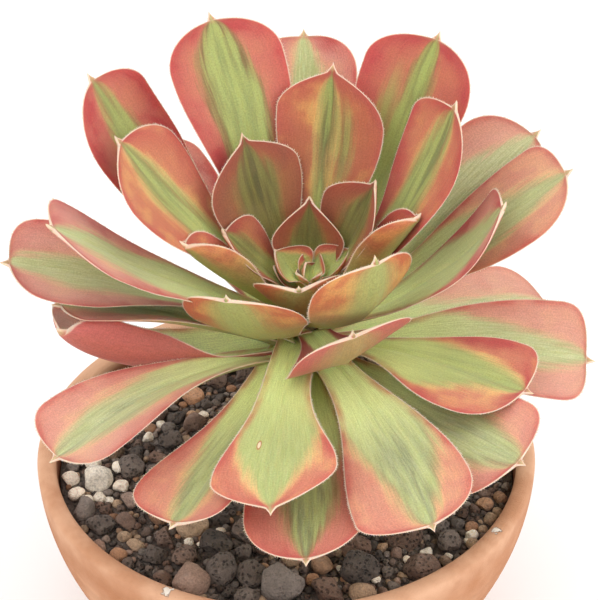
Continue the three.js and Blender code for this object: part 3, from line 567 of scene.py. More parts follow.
def blade_faces(leaf, u, v, edge, rib):
    """Upper and lower face of a blade over arrays u and v, half its width, and its upward way.

    The upper face has a shallow groove along the midrib and swells softly. The lower face lies
    below it by a thickness that grows from edge to rib by 1 - v^2, and both close at the margin
    as the square root of 1 - v^12.
    """
    place, _, beside, up = (axis[:, None] for axis in midrib(leaf, u[:, 0]))
    half = np.where(v >= 0, half_width(leaf, u, 1), half_width(leaf, u, -1))
    across, lift, slope = section(leaf, u, v)
    above = up * np.cos(slope)[..., None] - beside * np.sin(slope)[..., None]
    skin = place + beside * (across * half)[..., None] + up * (lift * half)[..., None]
    way = np.stack([u * leaf["length"], v * half], -1)
    swell = SWELL * leaf["small"] * waves(way, leaf["seed"], SWELL_LENGTH)
    swell = swell * smooth(u / 0.3) * smooth((1 - u) / 0.1)
    groove = GROOVE * leaf["small"] * np.exp(-((v * half / GROOVE_WIDTH) ** 2))
    groove = groove * smooth(u / 0.2) * smooth((1 - u) / 0.2)
    close = np.sqrt(np.clip(1 - v ** 12, 0, 1))
    taper = np.sqrt(np.clip((1 - u) / (1 - leaf["end"]), 0.02, 1))
    middle = FOOT_THICKNESS + (rib - FOOT_THICKNESS) * smooth(u / 0.3)
    middle = middle * (1 - 0.5 * smooth(2 * u - 1))
    depth = (edge * close + (np.maximum(edge, middle) - edge) * (1 - v ** 2)) * taper
    top = skin + above * (swell - groove - edge / 2 * (1 - close) * taper)[..., None]
    return top, top - above * depth[..., None], half, above


def leaf_stations(leaf, blade_rows=44, round_rows=22, point_rows=6):
    """Values of u along a leaf, closer together where its outline turns in and at its point."""
    end, widest = leaf["end"], leaf["widest"]
    turn = np.pi / 2 * (1 - (1 - np.arange(1, round_rows + 1) / round_rows) ** 1.5)
    return np.concatenate([
        np.linspace(0, widest, blade_rows), widest + (end - widest) * np.sin(turn),
        end + (1 - end) * np.linspace(0, 0.97, point_rows)[1:]])


def leaf_fields(leaf, u, v, half, under):
    """What the leaf's colours read: shares (v, u, underside), and millimetres (streak place,
    along, distance from the margin). The last is measured square to the outline."""
    row = half_width(leaf, u, np.where(v >= 0, 1, -1))
    step = 0.004
    slant = half_width(leaf, np.minimum(u + step, 1), 1) - half_width(leaf, u - step, 1)
    slant = slant / (2 * step * leaf["length"])
    inset = (1 - np.abs(v)) * row / np.sqrt(1 + slant ** 2)
    streak = v * (0.3 * leaf["width"] + 0.4 * half)
    return np.stack([v, u, under], -1), np.stack([streak, u * leaf["length"], inset], -1)


def blade_arrays(leaf, edge, rib, lines):
    """Corners, quads, triangles and fields of one closed blade."""
    w = np.linspace(-1, 1, 2 * lines + 1)
    across = 0.35 * w + 0.65 * np.sin(np.pi / 2 * w)
    u, v = np.meshgrid(leaf_stations(leaf), across, indexing="ij")
    top, bottom, half, _ = blade_faces(leaf, u, v, edge, rib)

    def around(upper, lower):
        """Values along the upper face and back along the lower one."""
        return np.concatenate([upper, lower[:, -2:0:-1]], 1)

    rings, under = around(top, bottom), around(0 * v, 0 * v + 1)
    under[:, [0, 2 * lines]] = 0.5
    share, place = leaf_fields(leaf, around(u, u), around(v, v), around(half, half), under)
    tip = midrib(leaf, np.array([1.0]))[0]
    share = np.vstack([share.reshape(-1, 3), [0, 0, 0.5], [0, 1, 0.5]])
    place = np.vstack([place.reshape(-1, 3), [0, 0, 2], [0, leaf["length"], 0]])
    return *capped(rings, rings[0].mean(0), tip, flip=True), share, place


def tooth_arrays(leaf, edge, rib, size, gap, stations=900):
    """Corners, faces and fields of the teeth along both margins: three-sided cones set by arc
    length, that lean towards the leaf's point."""
    draw = np.random.default_rng(leaf["seed"])
    fine = np.linspace(0.1, leaf["end"] + 0.4 * (1 - leaf["end"]), stations)
    parts = []
    for side in (-1, 1):
        line = blade_faces(leaf, fine[:, None], np.full((stations, 1), side), edge, rib)[0][:, 0]
        reach = np.concatenate([[0], np.cumsum(np.linalg.norm(np.diff(line, axis=0), axis=1))])
        count = int(reach[-1] / gap)
        at = (np.arange(count) + draw.uniform(0.2, 0.8, count)) * gap
        u = np.interp(at, reach, fine)[:, None]
        root, _, half, above = (
            values[:, 0] for values in blade_faces(leaf, u, np.full_like(u, side), edge, rib))
        ahead = unit(between(at + 0.2, reach, line) - between(at - 0.2, reach, line))
        out = unit(np.cross(ahead, above) * -side)
        long = size * draw.uniform(0.6, 1.25, (count, 1)) * smooth((u - 0.08) / 0.25)
        lean = draw.uniform(0.1, 0.7, (count, 1))
        rise = draw.uniform(-0.2, 0.3, (count, 1))
        tip = root + (out + ahead * lean + above * rise) * long
        ring = [root - out * TOOTH_ROOT + (ahead * np.cos(a) + above * np.sin(a)) * (
            TOOTH_WIDTH * long) for a in np.radians([0, 120, 240])]
        corners = np.stack([*ring[::-side], tip], 1).reshape(-1, 3)
        faces = np.array([[0, 1, 3], [1, 2, 3], [2, 0, 3], [2, 1, 0]])
        faces = (np.arange(count)[:, None, None] * 4 + faces).reshape(-1, 3)
        u = u[:, 0]
        share = np.stack([0 * u + side, u, 0 * u + 0.5], -1)
        place = np.stack([half * side, u * leaf["length"], 0 * u - 0.4], -1)
        parts.append((corners, NO_QUADS, faces, np.repeat(share, 4, 0), np.repeat(place, 4, 0)))
    return joined(parts)


def leaf_piece(name, leaves, settings):
    """One object with the blades and teeth of its leaves. Those of the bud are thinner."""
    young = name == "bud"
    parts = []
    for leaf in leaves:
        small = leaf["small"]
        thin = max(0.5, small) if young else 1
        edge, rib = settings.edge / MM * thin, settings.rib / MM * thin
        size = settings.tooth / MM * (0.5 + 0.5 * small)
        gap = settings.tooth_gap / MM * (0.6 + 0.4 * small)
        parts.append(blade_arrays(leaf, edge, rib, 12 if young else 20))
        parts.append(tooth_arrays(leaf, edge, rib, size, gap))
    points, quads, triangles, share, place = joined(parts)
    fields = {"leaf_share": share, "leaf_place": place}
    return mesh_piece(name, points * MM, quads, triangles, fields)


# Shader nodes.

class Field:
    """A value that changes over a surface. Sums and products of fields are math nodes."""

    def __init__(self, nodes, socket):
        """Keeps the socket that gives the value, and what adds nodes to its tree."""
        self.nodes, self.socket = nodes, socket

    def __add__(self, other):
        """The sum."""
        return self.nodes.math("ADD", self, other)

    def __sub__(self, other):
        """The difference."""
        return self.nodes.math("SUBTRACT", self, other)

    def __rsub__(self, other):
        """The difference from a number."""
        return self.nodes.math("SUBTRACT", other, self)

    def __mul__(self, other):
        """The product."""
        return self.nodes.math("MULTIPLY", self, other)

    def __truediv__(self, other):
        """The quotient."""
        return self.nodes.math("DIVIDE", self, other)

    def __pow__(self, other):
        """The power."""
        return self.nodes.math("POWER", self, other)

    def __abs__(self):
        """The value without its sign."""
        return self.nodes.math("ABSOLUTE", self, 0)


class Nodes:
    """Adds nodes to a tree and joins them. A value is a number, a colour or a field."""

    def __init__(self, tree):
        """Starts on a tree."""
        self.tree = tree

    def add(self, kind, values=(), **settings):
        """One node with its settings and the values of its inputs."""
        node = self.tree.nodes.new(kind)
        for key, value in settings.items():
            setattr(node, key, value)
        for key, value in dict(values).items():
            if isinstance(value, Field):
                self.tree.links.new(value.socket, node.inputs[key])
            else:
                node.inputs[key].default_value = value
        return node

    def field(self, kind, values=(), output=0, **settings):
        """One output of a new node."""
        return Field(self, self.add(kind, values, **settings).outputs[output])

    def math(self, operation, a, b):
        """A sum, product or other operation on numbers."""
        return self.field("ShaderNodeMath", {0: a, 1: b}, operation=operation)

    def step(self, value, low, high, start=0, end=1):
        """Rises smoothly from start to end as value goes from low to high."""
        values = {"Value": value, "From Min": low, "From Max": high, "To Min": start, "To Max": end}
        return self.field("ShaderNodeMapRange", values, interpolation_type="SMOOTHSTEP")

    def mix(self, share, a, b, blend="MIX"):
        """Colour a with share of colour b blended in."""
        a, b = (x if isinstance(x, Field) else (*x, 1) for x in (a, b))
        return self.field("ShaderNodeMix", {0: share, 6: a, 7: b}, 2, data_type="RGBA",
                          blend_type=blend, clamp_factor=True)

    def tinted(self, share, colour, tint):
        """A colour multiplied by a tint, by share."""
        return self.mix(share, colour, self.mix(1, colour, tint, "MULTIPLY"))

    def shaded(self, colour, light):
        """A colour multiplied by a number."""
        grey = self.field("ShaderNodeCombineColor", {0: light, 1: light, 2: light})
        return self.mix(1, colour, grey, "MULTIPLY")

    def split(self, vector):
        """The three numbers of a vector."""
        node = self.add("ShaderNodeSeparateXYZ", {0: vector})
        return [Field(self, socket) for socket in node.outputs[:3]]

    def join(self, x, y, z):
        """A vector from three numbers."""
        return self.field("ShaderNodeCombineXYZ", {0: x, 1: y, 2: z})

    def noise(self, vector, scale, detail, rough=0.5):
        """Noise around 0.5."""
        values = {"Vector": vector, "Scale": scale, "Detail": detail, "Roughness": rough}
        return self.field("ShaderNodeTexNoise", values)

    def cells(self, vector, scale):
        """Distance to the nearest of scattered points, and a random colour for each of them."""
        node = self.add("ShaderNodeTexVoronoi", {"Vector": vector, "Scale": scale})
        return [Field(self, socket) for socket in node.outputs[:2]]


def socket_name(key):
    """The socket of a look or a colour."""
    return key.replace("_", " ").title()


def shader_group(name, inputs):
    """An empty node group with named sockets, what adds nodes to it, and its inputs as fields.

    An input's kind follows from its value: a number, a colour, or the word vector.
    """
    group = bpy.data.node_groups.new(name, "ShaderNodeTree")
    for key, value in inputs.items():
        kind = {float: "Float", str: "Vector"}.get(type(value), "Color")
        socket = group.interface.new_socket(key, socket_type="NodeSocket" + kind, in_out="INPUT")
        if kind == "Float":
            socket.default_value = value
        elif kind == "Color":
            socket.default_value = (*value, 1)
    for key, kind in GROUP_OUTPUTS.items():
        group.interface.new_socket(key, socket_type="NodeSocket" + kind, in_out="OUTPUT")
    nodes = Nodes(group)
    given = nodes.add("NodeGroupInput").outputs
    fields = {key.lower().replace(" ", "_"): Field(nodes, given[key]) for key in inputs}
    return group, nodes, SimpleNamespace(**fields)


def surface(name, group, values, reads, bump, **fixed):
    """A material whose colour, roughness and bump come from a node group.

    reads gives the attribute that feeds each vector input, or the word object for the place.
    """
    material = bpy.data.materials.new(name)
    material.use_nodes = True
    material.node_tree.nodes.clear()
    nodes, inputs = Nodes(material.node_tree), dict(values)
    for key, source in reads.items():
        if source == "object":
            inputs[key] = nodes.field("ShaderNodeTexCoord", output="Object")
        else:
            inputs[key] = nodes.field("ShaderNodeAttribute", output="Vector", attribute_name=source)
    pattern = nodes.add("ShaderNodeGroup", inputs, node_tree=group)
    colour, rough, height = (Field(nodes, pattern.outputs[key]) for key in GROUP_OUTPUTS)
    relief = nodes.field("ShaderNodeBump", {"Height": height, "Distance": bump})
    shader = nodes.field("ShaderNodeBsdfPrincipled", {
        "Base Color": colour, "Roughness": rough, "Normal": relief, **fixed})
    nodes.add("ShaderNodeOutputMaterial", {0: shader})
    return material


def leaf_skin_group(settings):
    """Leaf colours from the shares and millimetres of leaf_fields.

    A green band with streaked soft edges runs up the middle and widens to the base. Beside it the
    colour goes from amber to coral or rose. A crimson flush and a pale line follow the margin. The
    underside has a green keel between coral or crimson flanks.
    """
    inputs = {"Share": "vector", "Place": "vector", "Seed": 0.0, "Scar Across": 0.0,
              "Scar Along": 0.0}
    inputs.update({socket_name(key): float(value) for key, value in PLAIN_LOOK.items()})
    inputs.update({key.title(): tuple(getattr(settings, key)) for key in (
        "lime", "sprout", "olive", "sage", "amber", "straw", "coral", "rose", "crimson", "keel",
        "seam", "rim")})
    group, n, skin = shader_group("Leaf skin", inputs)
    v, u, under = n.split(skin.share)
    across, along, inset = n.split(skin.place)

    def streaks(wide, long, detail):
        """Noise drawn out along the leaf."""
        return n.noise(n.join(across * wide, along * long, skin.seed), 1, detail)

    broad = streaks(0.16, 0.05, 2)
    streak = streaks(0.55, 0.05, 3)
    fine = streaks(2.6, 0.16, 2)
    patch = n.noise(n.join(across, along, skin.seed), 0.13, 2)
    grain = n.noise(n.join(across, along, under), 2.4, 3, 0.75)
    wobble = broad * 0.8 + (streak * 0.7 + fine * 0.35) - 0.925

    # Where the band ends, in half widths beyond its edge, and a second stripe on some leaves.
    at_base = n.step(u, skin.reach - 0.55, skin.reach, 1, 0)
    to_tip = n.step(u, 0.66, 1)
    width = skin.band * (1 - to_tip * 0.6) + at_base * 0.8
    beyond = abs(v - skin.aside * (1 - to_tip)) - width + wobble * 0.45
    green = n.step(beyond, -0.12, 0.14, 1, 0)
    beside = abs(v - skin.second_at) + wobble * 0.25 - skin.second
    second = n.step(beside, -0.07, 0.13, 1, 0) * (
        n.step(u, 0.40, 0.55) * n.step(u, 0.70, 0.92, 1, 0))
    second = second * n.math("GREATER_THAN", skin.second, 0.001)
    green = n.math("MAXIMUM", green, second * 0.8)

    # The margins: amber and straw beside the band, then coral or rose, crimson along the edge.
    warm = n.mix(skin.pink, skin.coral, skin.rose)
    halo = n.step(beyond, 0, 0.34, 1, 0) * n.step(patch, 0.3, 0.6, 0.5, 1)
    halo = halo + n.step(patch, 0.50, 0.68, 0, 0.8)
    warm = n.mix(halo * skin.glow, warm, skin.amber)
    warm = n.mix(n.step(beyond, 0.02, 0.22, 1, 0) * skin.glow * 1.1, warm, skin.straw)
    warm = n.mix(skin.pale * 0.6, warm, BLEACHED_MARGIN)
    flush = n.step(inset, 0.5, 7, 1.25, 0) * n.step(patch, 0.35, 0.62, 1, 0.5)
    flush = flush + n.step(patch + grain * 0.2, 0.42, 0.60, 0.5, 0)
    warm = n.mix(flush * skin.flush, warm, skin.crimson)

    # The band: dark streaks on lime, paler on bleached leaves, brighter towards the base, partly
    # its own lime and partly painted light in the shade of the rosette.
    dark = n.step(streak, 0.36, 0.66) * n.step(u, 0.20, 0.60)
    dark = (dark + n.step(fine, 0.30, 0.72, 0, 0.35)) * skin.dark
    leafy = n.mix(dark * n.step(abs(v), 0, 0.5, 1.15, 0.65), skin.lime, skin.olive)
    leafy = n.mix(skin.pale * n.step(fine, 0.35, 0.65, 0.7, 1), leafy, skin.sage)
    # young: towards the foot the band turns a bright lime, brighter than its own colour as painted
    # light where the rosette shades it.
    young = n.step(u, 0.12, 0.68, 1, 0) * n.step(fine, 0.3, 0.7, 0.8, 1)
    leafy = n.mix(young, leafy, n.mix(skin.pale, skin.sprout, BLEACHED_BASE_AND_LIGHT))

    upper = n.mix(green, warm, leafy)
    verge = n.step(inset, 0.35, 2.4, 0.7, 0) * n.step(patch, 0.35, 0.62, 1, 0.4)
    upper = n.mix(verge, upper, n.mix(0.35, skin.crimson, skin.rose))
    seam = n.step(beyond, -0.24, 0) * n.step(beyond, 0, 0.18, 1, 0)
    seam = seam * n.step(streak, 0.34, 0.64, 0.3, 1) * (1 - at_base * 0.7)
    upper = n.mix(seam * skin.brown, upper, skin.seam)

    # The underside.
    flank = n.mix(n.step(patch, 0.40, 0.62) * skin.glow,
                  n.mix(skin.pink, skin.coral, skin.crimson), skin.amber)
    flank = n.mix(skin.pale * (skin.belly * 0.38 + 0.12), flank, BLEACHED_FLANK)
    flank = n.mix(n.step(u, 0.40, 0.80, 0.85, 0) * skin.belly, flank, skin.keel)
    keel = n.step(abs(v) + wobble * 0.5, 0.10, 0.72, 1, 0) * skin.belly
    colour = n.mix(n.step(under, 0.35, 0.65), upper, n.mix(keel, flank, skin.keel))

    # Darker young leaves with painted shade of the crown's interior, the tip, grain, black specks,
    # a scar, and the pale rim.
    # deep darkens the young leaves by their own colour and by painted shade, most towards the foot
    # and the middle of the blade; the olive cast laid over it is partly painted shade too.
    deep = skin.deep * n.step(u, 0.60, 0.95, 1, 0.6) * n.step(abs(v), 0.1, 0.8, 1, 0.7)
    colour = n.tinted(deep, colour, DEEP_AND_PAINTED_SHADE)
    colour = n.mix(deep * n.step(patch, 0.35, 0.60, 0.70, 0.35), colour, DEEP_OLIVE_AND_SHADE)
    colour = n.mix(n.step(u, 0.955, 0.985, 0, 0.65), colour, TIP_STRAW)
    colour = n.shaded(colour, n.step(grain, 0.30, 0.70, 0.84, 1.14)
                      + n.step(fine, 0.3, 0.7, -0.045, 0.045))
    distance, cell = n.cells(n.join(across, along, skin.seed), 0.11)
    rare = n.math("GREATER_THAN", n.split(cell)[0], 0.80)
    colour = n.mix(n.step(distance, 0.018, 0.034, 1, 0) * rare * 0.8, colour, SPECK_BLACK)
    away = (((across - skin.scar_across) / SCAR_SIZE[0]) ** 2
            + ((along - skin.scar_along) / SCAR_SIZE[1]) ** 2)
    colour = n.mix(n.step(away, 1, 1.9, 1, 0), colour, SCAR_BROWN)
    scar = n.step(away, 0.45, 0.9, 1, 0)
    colour = n.mix(scar, colour, SCAR_TAN)
    colour = n.mix(n.step(inset + (grain - 0.5) * 0.3, 0.03, 0.34, 0.9, 0), colour, skin.rim)
    n.add("NodeGroupOutput", {"Colour": colour, "Roughness": n.step(grain, 0.3, 0.7, 0.42, 0.58),
                              "Height": fine * 0.7 + grain * 0.5 + scar * 1.5})
    return group


def leaf_material(name, group):
    """The material of one leaf, with its own row of looks."""
    values = {socket_name(key): value for key, value in {**PLAIN_LOOK, **LOOKS[name]}.items()}
    across, along = SCAR_PLACE if name == SCARRED_LEAF else NO_SCAR
    values.update({"Scar Across": across, "Scar Along": along, "Seed": sum(map(ord, name)) % 97})
    return surface("leaf " + name, group, values, {"Share": "leaf_share", "Place": "leaf_place"},
                   LEAF_RELIEF, **LEAF_GLOSS)


def stone_group(settings):
    """Stone colours: a base colour varied from stone to stone and within it, with pits, rust,
    dust on its light patches and fine grain. Tint's numbers differ from stone to stone."""
    inputs = {"Position": "vector", "Tint": "vector", "Base": tuple(settings.lava), "Pits": 0.5,
              "Vary": 0.5, "Dust": tuple(settings.slate)}
    group, n, stone = shader_group("Stone", inputs)
    tint, shift, _ = n.split(stone.tint)
    place = n.field("ShaderNodeVectorMath", {0: stone.position, 1: stone.tint}, operation="ADD")
    blotch = n.noise(place, 260, 4, 0.6)
    grain = n.noise(place, 1900, 3, 0.7)
    pit = n.step(n.cells(place, 900)[0], 0.18, 0.42, 1, 0) * stone.pits
    light = tint * 0.9 + 0.55 + (blotch - 0.5) * 1.1
    light = light * n.step(grain, 0.2, 0.8, 0.72, 1.3) * (1 - pit * 0.6)
    colour = n.shaded(stone.base, n.math("MAXIMUM", light, 0.12))
    colour = n.tinted(n.step(shift, 0.45, 1) * stone.vary, colour, RUST)
    colour = n.mix(n.step(blotch, 0.52, 0.72) * 0.35, colour, stone.dust)
    n.add("NodeGroupOutput", {"Colour": colour, "Roughness": n.step(grain, 0.3, 0.7, 0.8, 0.98),
                              "Height": blotch * 1.4 + grain - pit * 1.2})
    return group


def clay_group(settings):
    """Fired clay: blotches, throwing lines round the pan, a pale bloom on the rim and in
    patches, an inner wall darkened by painted shade and stained by lime, and two chips."""
    inputs = {"Position": "vector", "Clay": tuple(settings.clay), "Bloom": tuple(settings.lime),
              "Rim Height": settings.height}
    group, n, pan = shader_group("Fired clay", inputs)
    x, y, z = n.split(pan.position)
    blotch = n.noise(pan.position, 45, 4, 0.6)
    lines = n.noise(n.join(x * 6, y * 6, z * 420), 1, 3, 0.6)
    grain = n.noise(pan.position, 2600, 2, 0.6)
    colour = n.mix(n.step(blotch, 0.35, 0.68), pan.clay, n.mix(0.45, pan.clay, pan.bloom))
    colour = n.shaded(colour, lines * 0.24 + grain * 0.16 + 0.80)
    high = z - pan.rim_height
    bloom = n.step(high, -0.009, -0.0005) * n.step(blotch, 0.30, 0.60, 0.25, 0.8)
    colour = n.mix(bloom, colour, pan.bloom)

    # The inner wall, between the grit and the rim: painted shade darkens it below the rim, and lime
    # stains it.
    ring = (x ** 2 + y ** 2) ** 0.5
    # Painted shade on the inner wall: a darker brown from a little below the rim down to the grit.
    wall_shade = n.step(ring, 0.0596, 0.0610, 1, 0) * n.step(high, -0.0042, -0.0014, 1, 0)
    colour = n.tinted(wall_shade * n.step(z, 0.0462, 0.0475), colour, INNER_WALL_SHADE)
    inside = n.step(ring, 0.0560, 0.0600, 1, 0) * n.step(z, 0.046, 0.048)
    stain = inside * n.step(n.noise(pan.position, 120, 4, 0.6), 0.5, 0.68)
    colour = n.mix(stain * 0.3, colour, LIME_STAIN)

    def chip(turn, size):
        """A ragged spot on top of the rim."""
        turn = np.radians(turn)
        spot = (CHIP_CIRCLE * np.cos(turn), CHIP_CIRCLE * np.sin(turn), CHIP_HEIGHT)
        away = n.field("ShaderNodeVectorMath", {0: pan.position, 1: spot}, "Value",
                       operation="DISTANCE")
        away = away + (n.noise(pan.position, 900, 3) - 0.5) * 0.004
        return n.step(away, size * 0.6, size, 1, 0)

    chips = n.math("MAXIMUM", *(chip(turn, size) for turn, size in RIM_CHIPS))
    colour = n.mix(chips, colour, CHIP_PALE)
    n.add("NodeGroupOutput", {"Colour": colour, "Roughness": n.step(blotch, 0.3, 0.7, 0.78, 0.92),
                              "Height": lines * 1.2 + grain * 0.6 - chips * 2})
    return group


# Stem, pan and grit.

def stem_arrays(sides=64):
    """The stem: rings along a bent axis, swollen by leaf scars in spirals, as corners and faces.

    Its radius falls slowly to the crown and then quickly to the heart. The scars are low ridges
    along three spirals one way and five the other, as powers of a cosine of turn and height.
    """
    low = np.linspace(0, 1, 70)
    high = np.linspace(0, HEART_START, 24)[1:]
    axis = np.vstack([STEM_FOOT + (CROWN - STEM_FOOT) * low[:, None],
                      CROWN + (HEART - CROWN) * high[:, None]])
    radius = np.concatenate([STEM_RADIUS - STEM_TAPER * low, cone_radius(high) - CONE_INSET])
    turn = np.linspace(0, 2 * np.pi, sides, endpoint=False)
    x, y, z = axis[:, :1], axis[:, 1:2], axis[:, 2:]
    ridges = np.abs(np.cos(z * 0.62 + 1.5 * turn)) ** 6
    ridges += 0.6 * np.abs(np.cos(z * 0.41 - 2.5 * turn)) ** 8
    rough = waves(np.stack([3 * np.cos(turn) + 0 * z, 3 * np.sin(turn) + 0 * z, z + 0 * turn], -1),
                  11, 4.0)
    reach = radius[:, None] + 0.22 * ridges + 0.12 * rough
    rings = np.stack([x + reach * np.cos(turn), y + reach * np.sin(turn), z + 0 * reach], -1)
    return capped(rings, axis[0], axis[-1])


def turned(profile, sides):
    """A profile of (radius, height) turned round the Z axis; its ends on the axis are poles."""
    turn = np.linspace(0, 2 * np.pi, sides, endpoint=False)
    radius, height = profile[1:-1, :1], profile[1:-1, 1:]
    rings = np.stack([radius * np.cos(turn), radius * np.sin(turn), height + 0 * turn], -1)
    return capped(rings, [0, 0, profile[0, 1]], [0, 0, profile[-1, 1]])


def wall_radius(z, settings):
    """Outer radius at a height: a parabola from the foot to the rim."""
    low = (settings.height - z) / settings.height
    return settings.rim_radius - (settings.rim_radius - settings.foot_radius) * low ** 2


def pan_profile(settings):
    """The pan's section from the middle of its foot, up the outside, over the rim and back."""
    top, wall = settings.height - RIM_CROWN, settings.wall
    z = np.linspace(FOOT_EDGE, top, 40)
    outer = np.stack([wall_radius(z, settings), z], -1)
    foot = [[0, 0], [settings.foot_radius - FOOT_ROUND, 0],
            [settings.foot_radius - FOOT_BEVEL, FOOT_BEVEL]]
    arc = np.radians(np.linspace(8, 172, 14))
    rim = np.stack([settings.rim_radius - wall / 2 + wall / 2 * np.cos(arc),
                    top + RIM_CROWN * np.sin(arc)], -1)
    z = np.linspace(top, settings.base + WELL_RISE, 30)
    inner = np.stack([wall_radius(z, settings) - wall, z], -1)
    well = [[inner[-1, 0] - FOOT_ROUND, settings.base], [0, settings.base]]
    return np.vstack([foot, outer, rim, inner, well])


def scattered(settings, pan):
    """Places and radii of the stones in millimetres: the marked ones, then darts thrown from
    large to small that land clear of the wall, the stem and the stones before them."""
    draw = np.random.default_rng(settings.seed)
    stones = [(kind, x, y, width / 2) for kind, x, y, width in KEY_STONES]
    limit = (wall_radius(settings.level, pan) - pan.wall) / MM - WALL_GAP
    shares = [kind[0] for kind in STONE_KINDS.values()]
    for count, low, high, spread in STONE_THROWS:
        for _ in range(count):
            radius = low + (high - low) * draw.random() ** 1.5
            kind = draw.choice(list(STONE_KINDS), p=shares)
            for _ in range(TRIES):
                reach, turn = limit * np.sqrt(draw.random()), draw.uniform(0, 2 * np.pi)
                x, y = reach * np.cos(turn), reach * np.sin(turn)
                placed = np.array([stone[1:] for stone in stones])
                gaps = np.hypot(placed[:, 0] - x, placed[:, 1] - y)
                beside_stem = np.hypot(x - STEM_IN_GRIT[0], y - STEM_IN_GRIT[1])
                if (reach + radius < limit and beside_stem > STEM_RADIUS + radius
                        and (gaps > spread * (placed[:, 2] + radius)).all()):
                    stones.append((str(kind), x, y, radius))
                    break
    return stones


def ball(subdivisions):
    """Corners and triangles of a unit ball with even faces."""
    shape = bmesh.new()
    bmesh.ops.create_icosphere(shape, subdivisions=subdivisions, radius=1)
    corners = np.array([corner.co for corner in shape.verts])
    faces = np.array([[corner.index for corner in face.verts] for face in shape.faces])
    shape.free()
    return corners, faces


def stone_arrays(stones, subdivisions, seed, cuts, level, rough):
    """Corners, faces and tints of stones: unit balls whose corners are pushed back to
    random planes, squashed, roughened by waves, turned, and sunk into the bed."""
    draw = np.random.default_rng(seed)
    corners, faces = ball(subdivisions)
    count = len(stones)
    bodies = np.repeat(corners[None], count, 0)
    for _ in range(cuts):
        facing = unit(draw.normal(size=(count, 3)))
        over = np.einsum("svk,sk->sv", bodies, facing) - draw.uniform(0.55, 0.9, (count, 1))
        bodies = bodies - np.maximum(over, 0)[..., None] * facing[:, None]
    shifted = bodies * 3 + draw.uniform(0, 40, (count, 1, 3))
    bodies *= 1 + rough * waves(shifted, seed, 5.0, 9)[..., None]
    bodies *= 1 + 0.5 * rough * waves(shifted, seed + 1, 1.7, 9)[..., None]
    bodies *= draw.uniform(0.78, 1.12, (count, 1, 3))
    bodies *= 1 / np.abs(bodies[..., :2]).max((1, 2))[:, None, None]
    turn = draw.uniform(0, 2 * np.pi, (count, 1))
    cosine, sine = np.cos(turn), np.sin(turn)
    x, y, z = bodies[..., 0], bodies[..., 1], bodies[..., 2]
    bodies = np.stack([x * cosine - y * sine, x * sine + y * cosine, z * 0.85], -1)
    places = np.array([stone[1:3] for stone in stones])
    radii = np.array([stone[3] for stone in stones])
    lift = level + radii * draw.uniform(0.15, 0.5, count)
    points = bodies * radii[:, None, None] + np.column_stack([places, lift])[:, None]
    triangles = faces + (np.arange(count) * len(corners))[:, None, None]
    tints = np.repeat(draw.random((count, 3)), len(corners), 0)
    return points.reshape(-1, 3), NO_QUADS, triangles.reshape(-1, 3), tints


def stone_material(name, colour, pits, vary, bump, **others):
    """The material of grit, of one kind of stone or of bark."""
    values = {"Base": (*colour, 1), "Pits": pits, "Vary": vary, **others}
    return surface(name, bpy.data.node_groups["Stone"], values,
                   {"Position": "object", "Tint": "stone_tint"}, bump)


# Operators.

class BuildPan(bpy.types.Operator):
    """Builds the terracotta pan with its drain holes."""

    bl_idname = "aeonium.build_pan"
    bl_label = "Pan"

    def execute(self, context):
        """Turns the profile, drills the holes and fires the clay."""
        settings = context.scene.aeonium_pan
        pan = mesh_piece("terracotta_pan", *turned(pan_profile(settings), 192))
        for turn in np.radians(DRAIN_TURNS):
            bpy.ops.mesh.primitive_cylinder_add(
                vertices=48, radius=DRAIN_RADIUS, depth=DRAIN_DEPTH,
                location=(DRAIN_CIRCLE * np.cos(turn), DRAIN_CIRCLE * np.sin(turn), 0))
            drill = context.object
            cut = pan.modifiers.new("drain", "BOOLEAN")
            cut.operation, cut.solver, cut.object = "DIFFERENCE", "EXACT", drill
            with context.temp_override(object=pan, active_object=pan, selected_objects=[pan]):
                bpy.ops.object.modifier_apply(modifier=cut.name)
            bpy.data.objects.remove(drill)
        material = surface("terracotta", clay_group(settings), {}, {"Position": "object"},
                           CLAY_RELIEF, **{"Specular IOR Level": 0.3})
        finish_piece(pan, material, "pan")
        return {"FINISHED"}


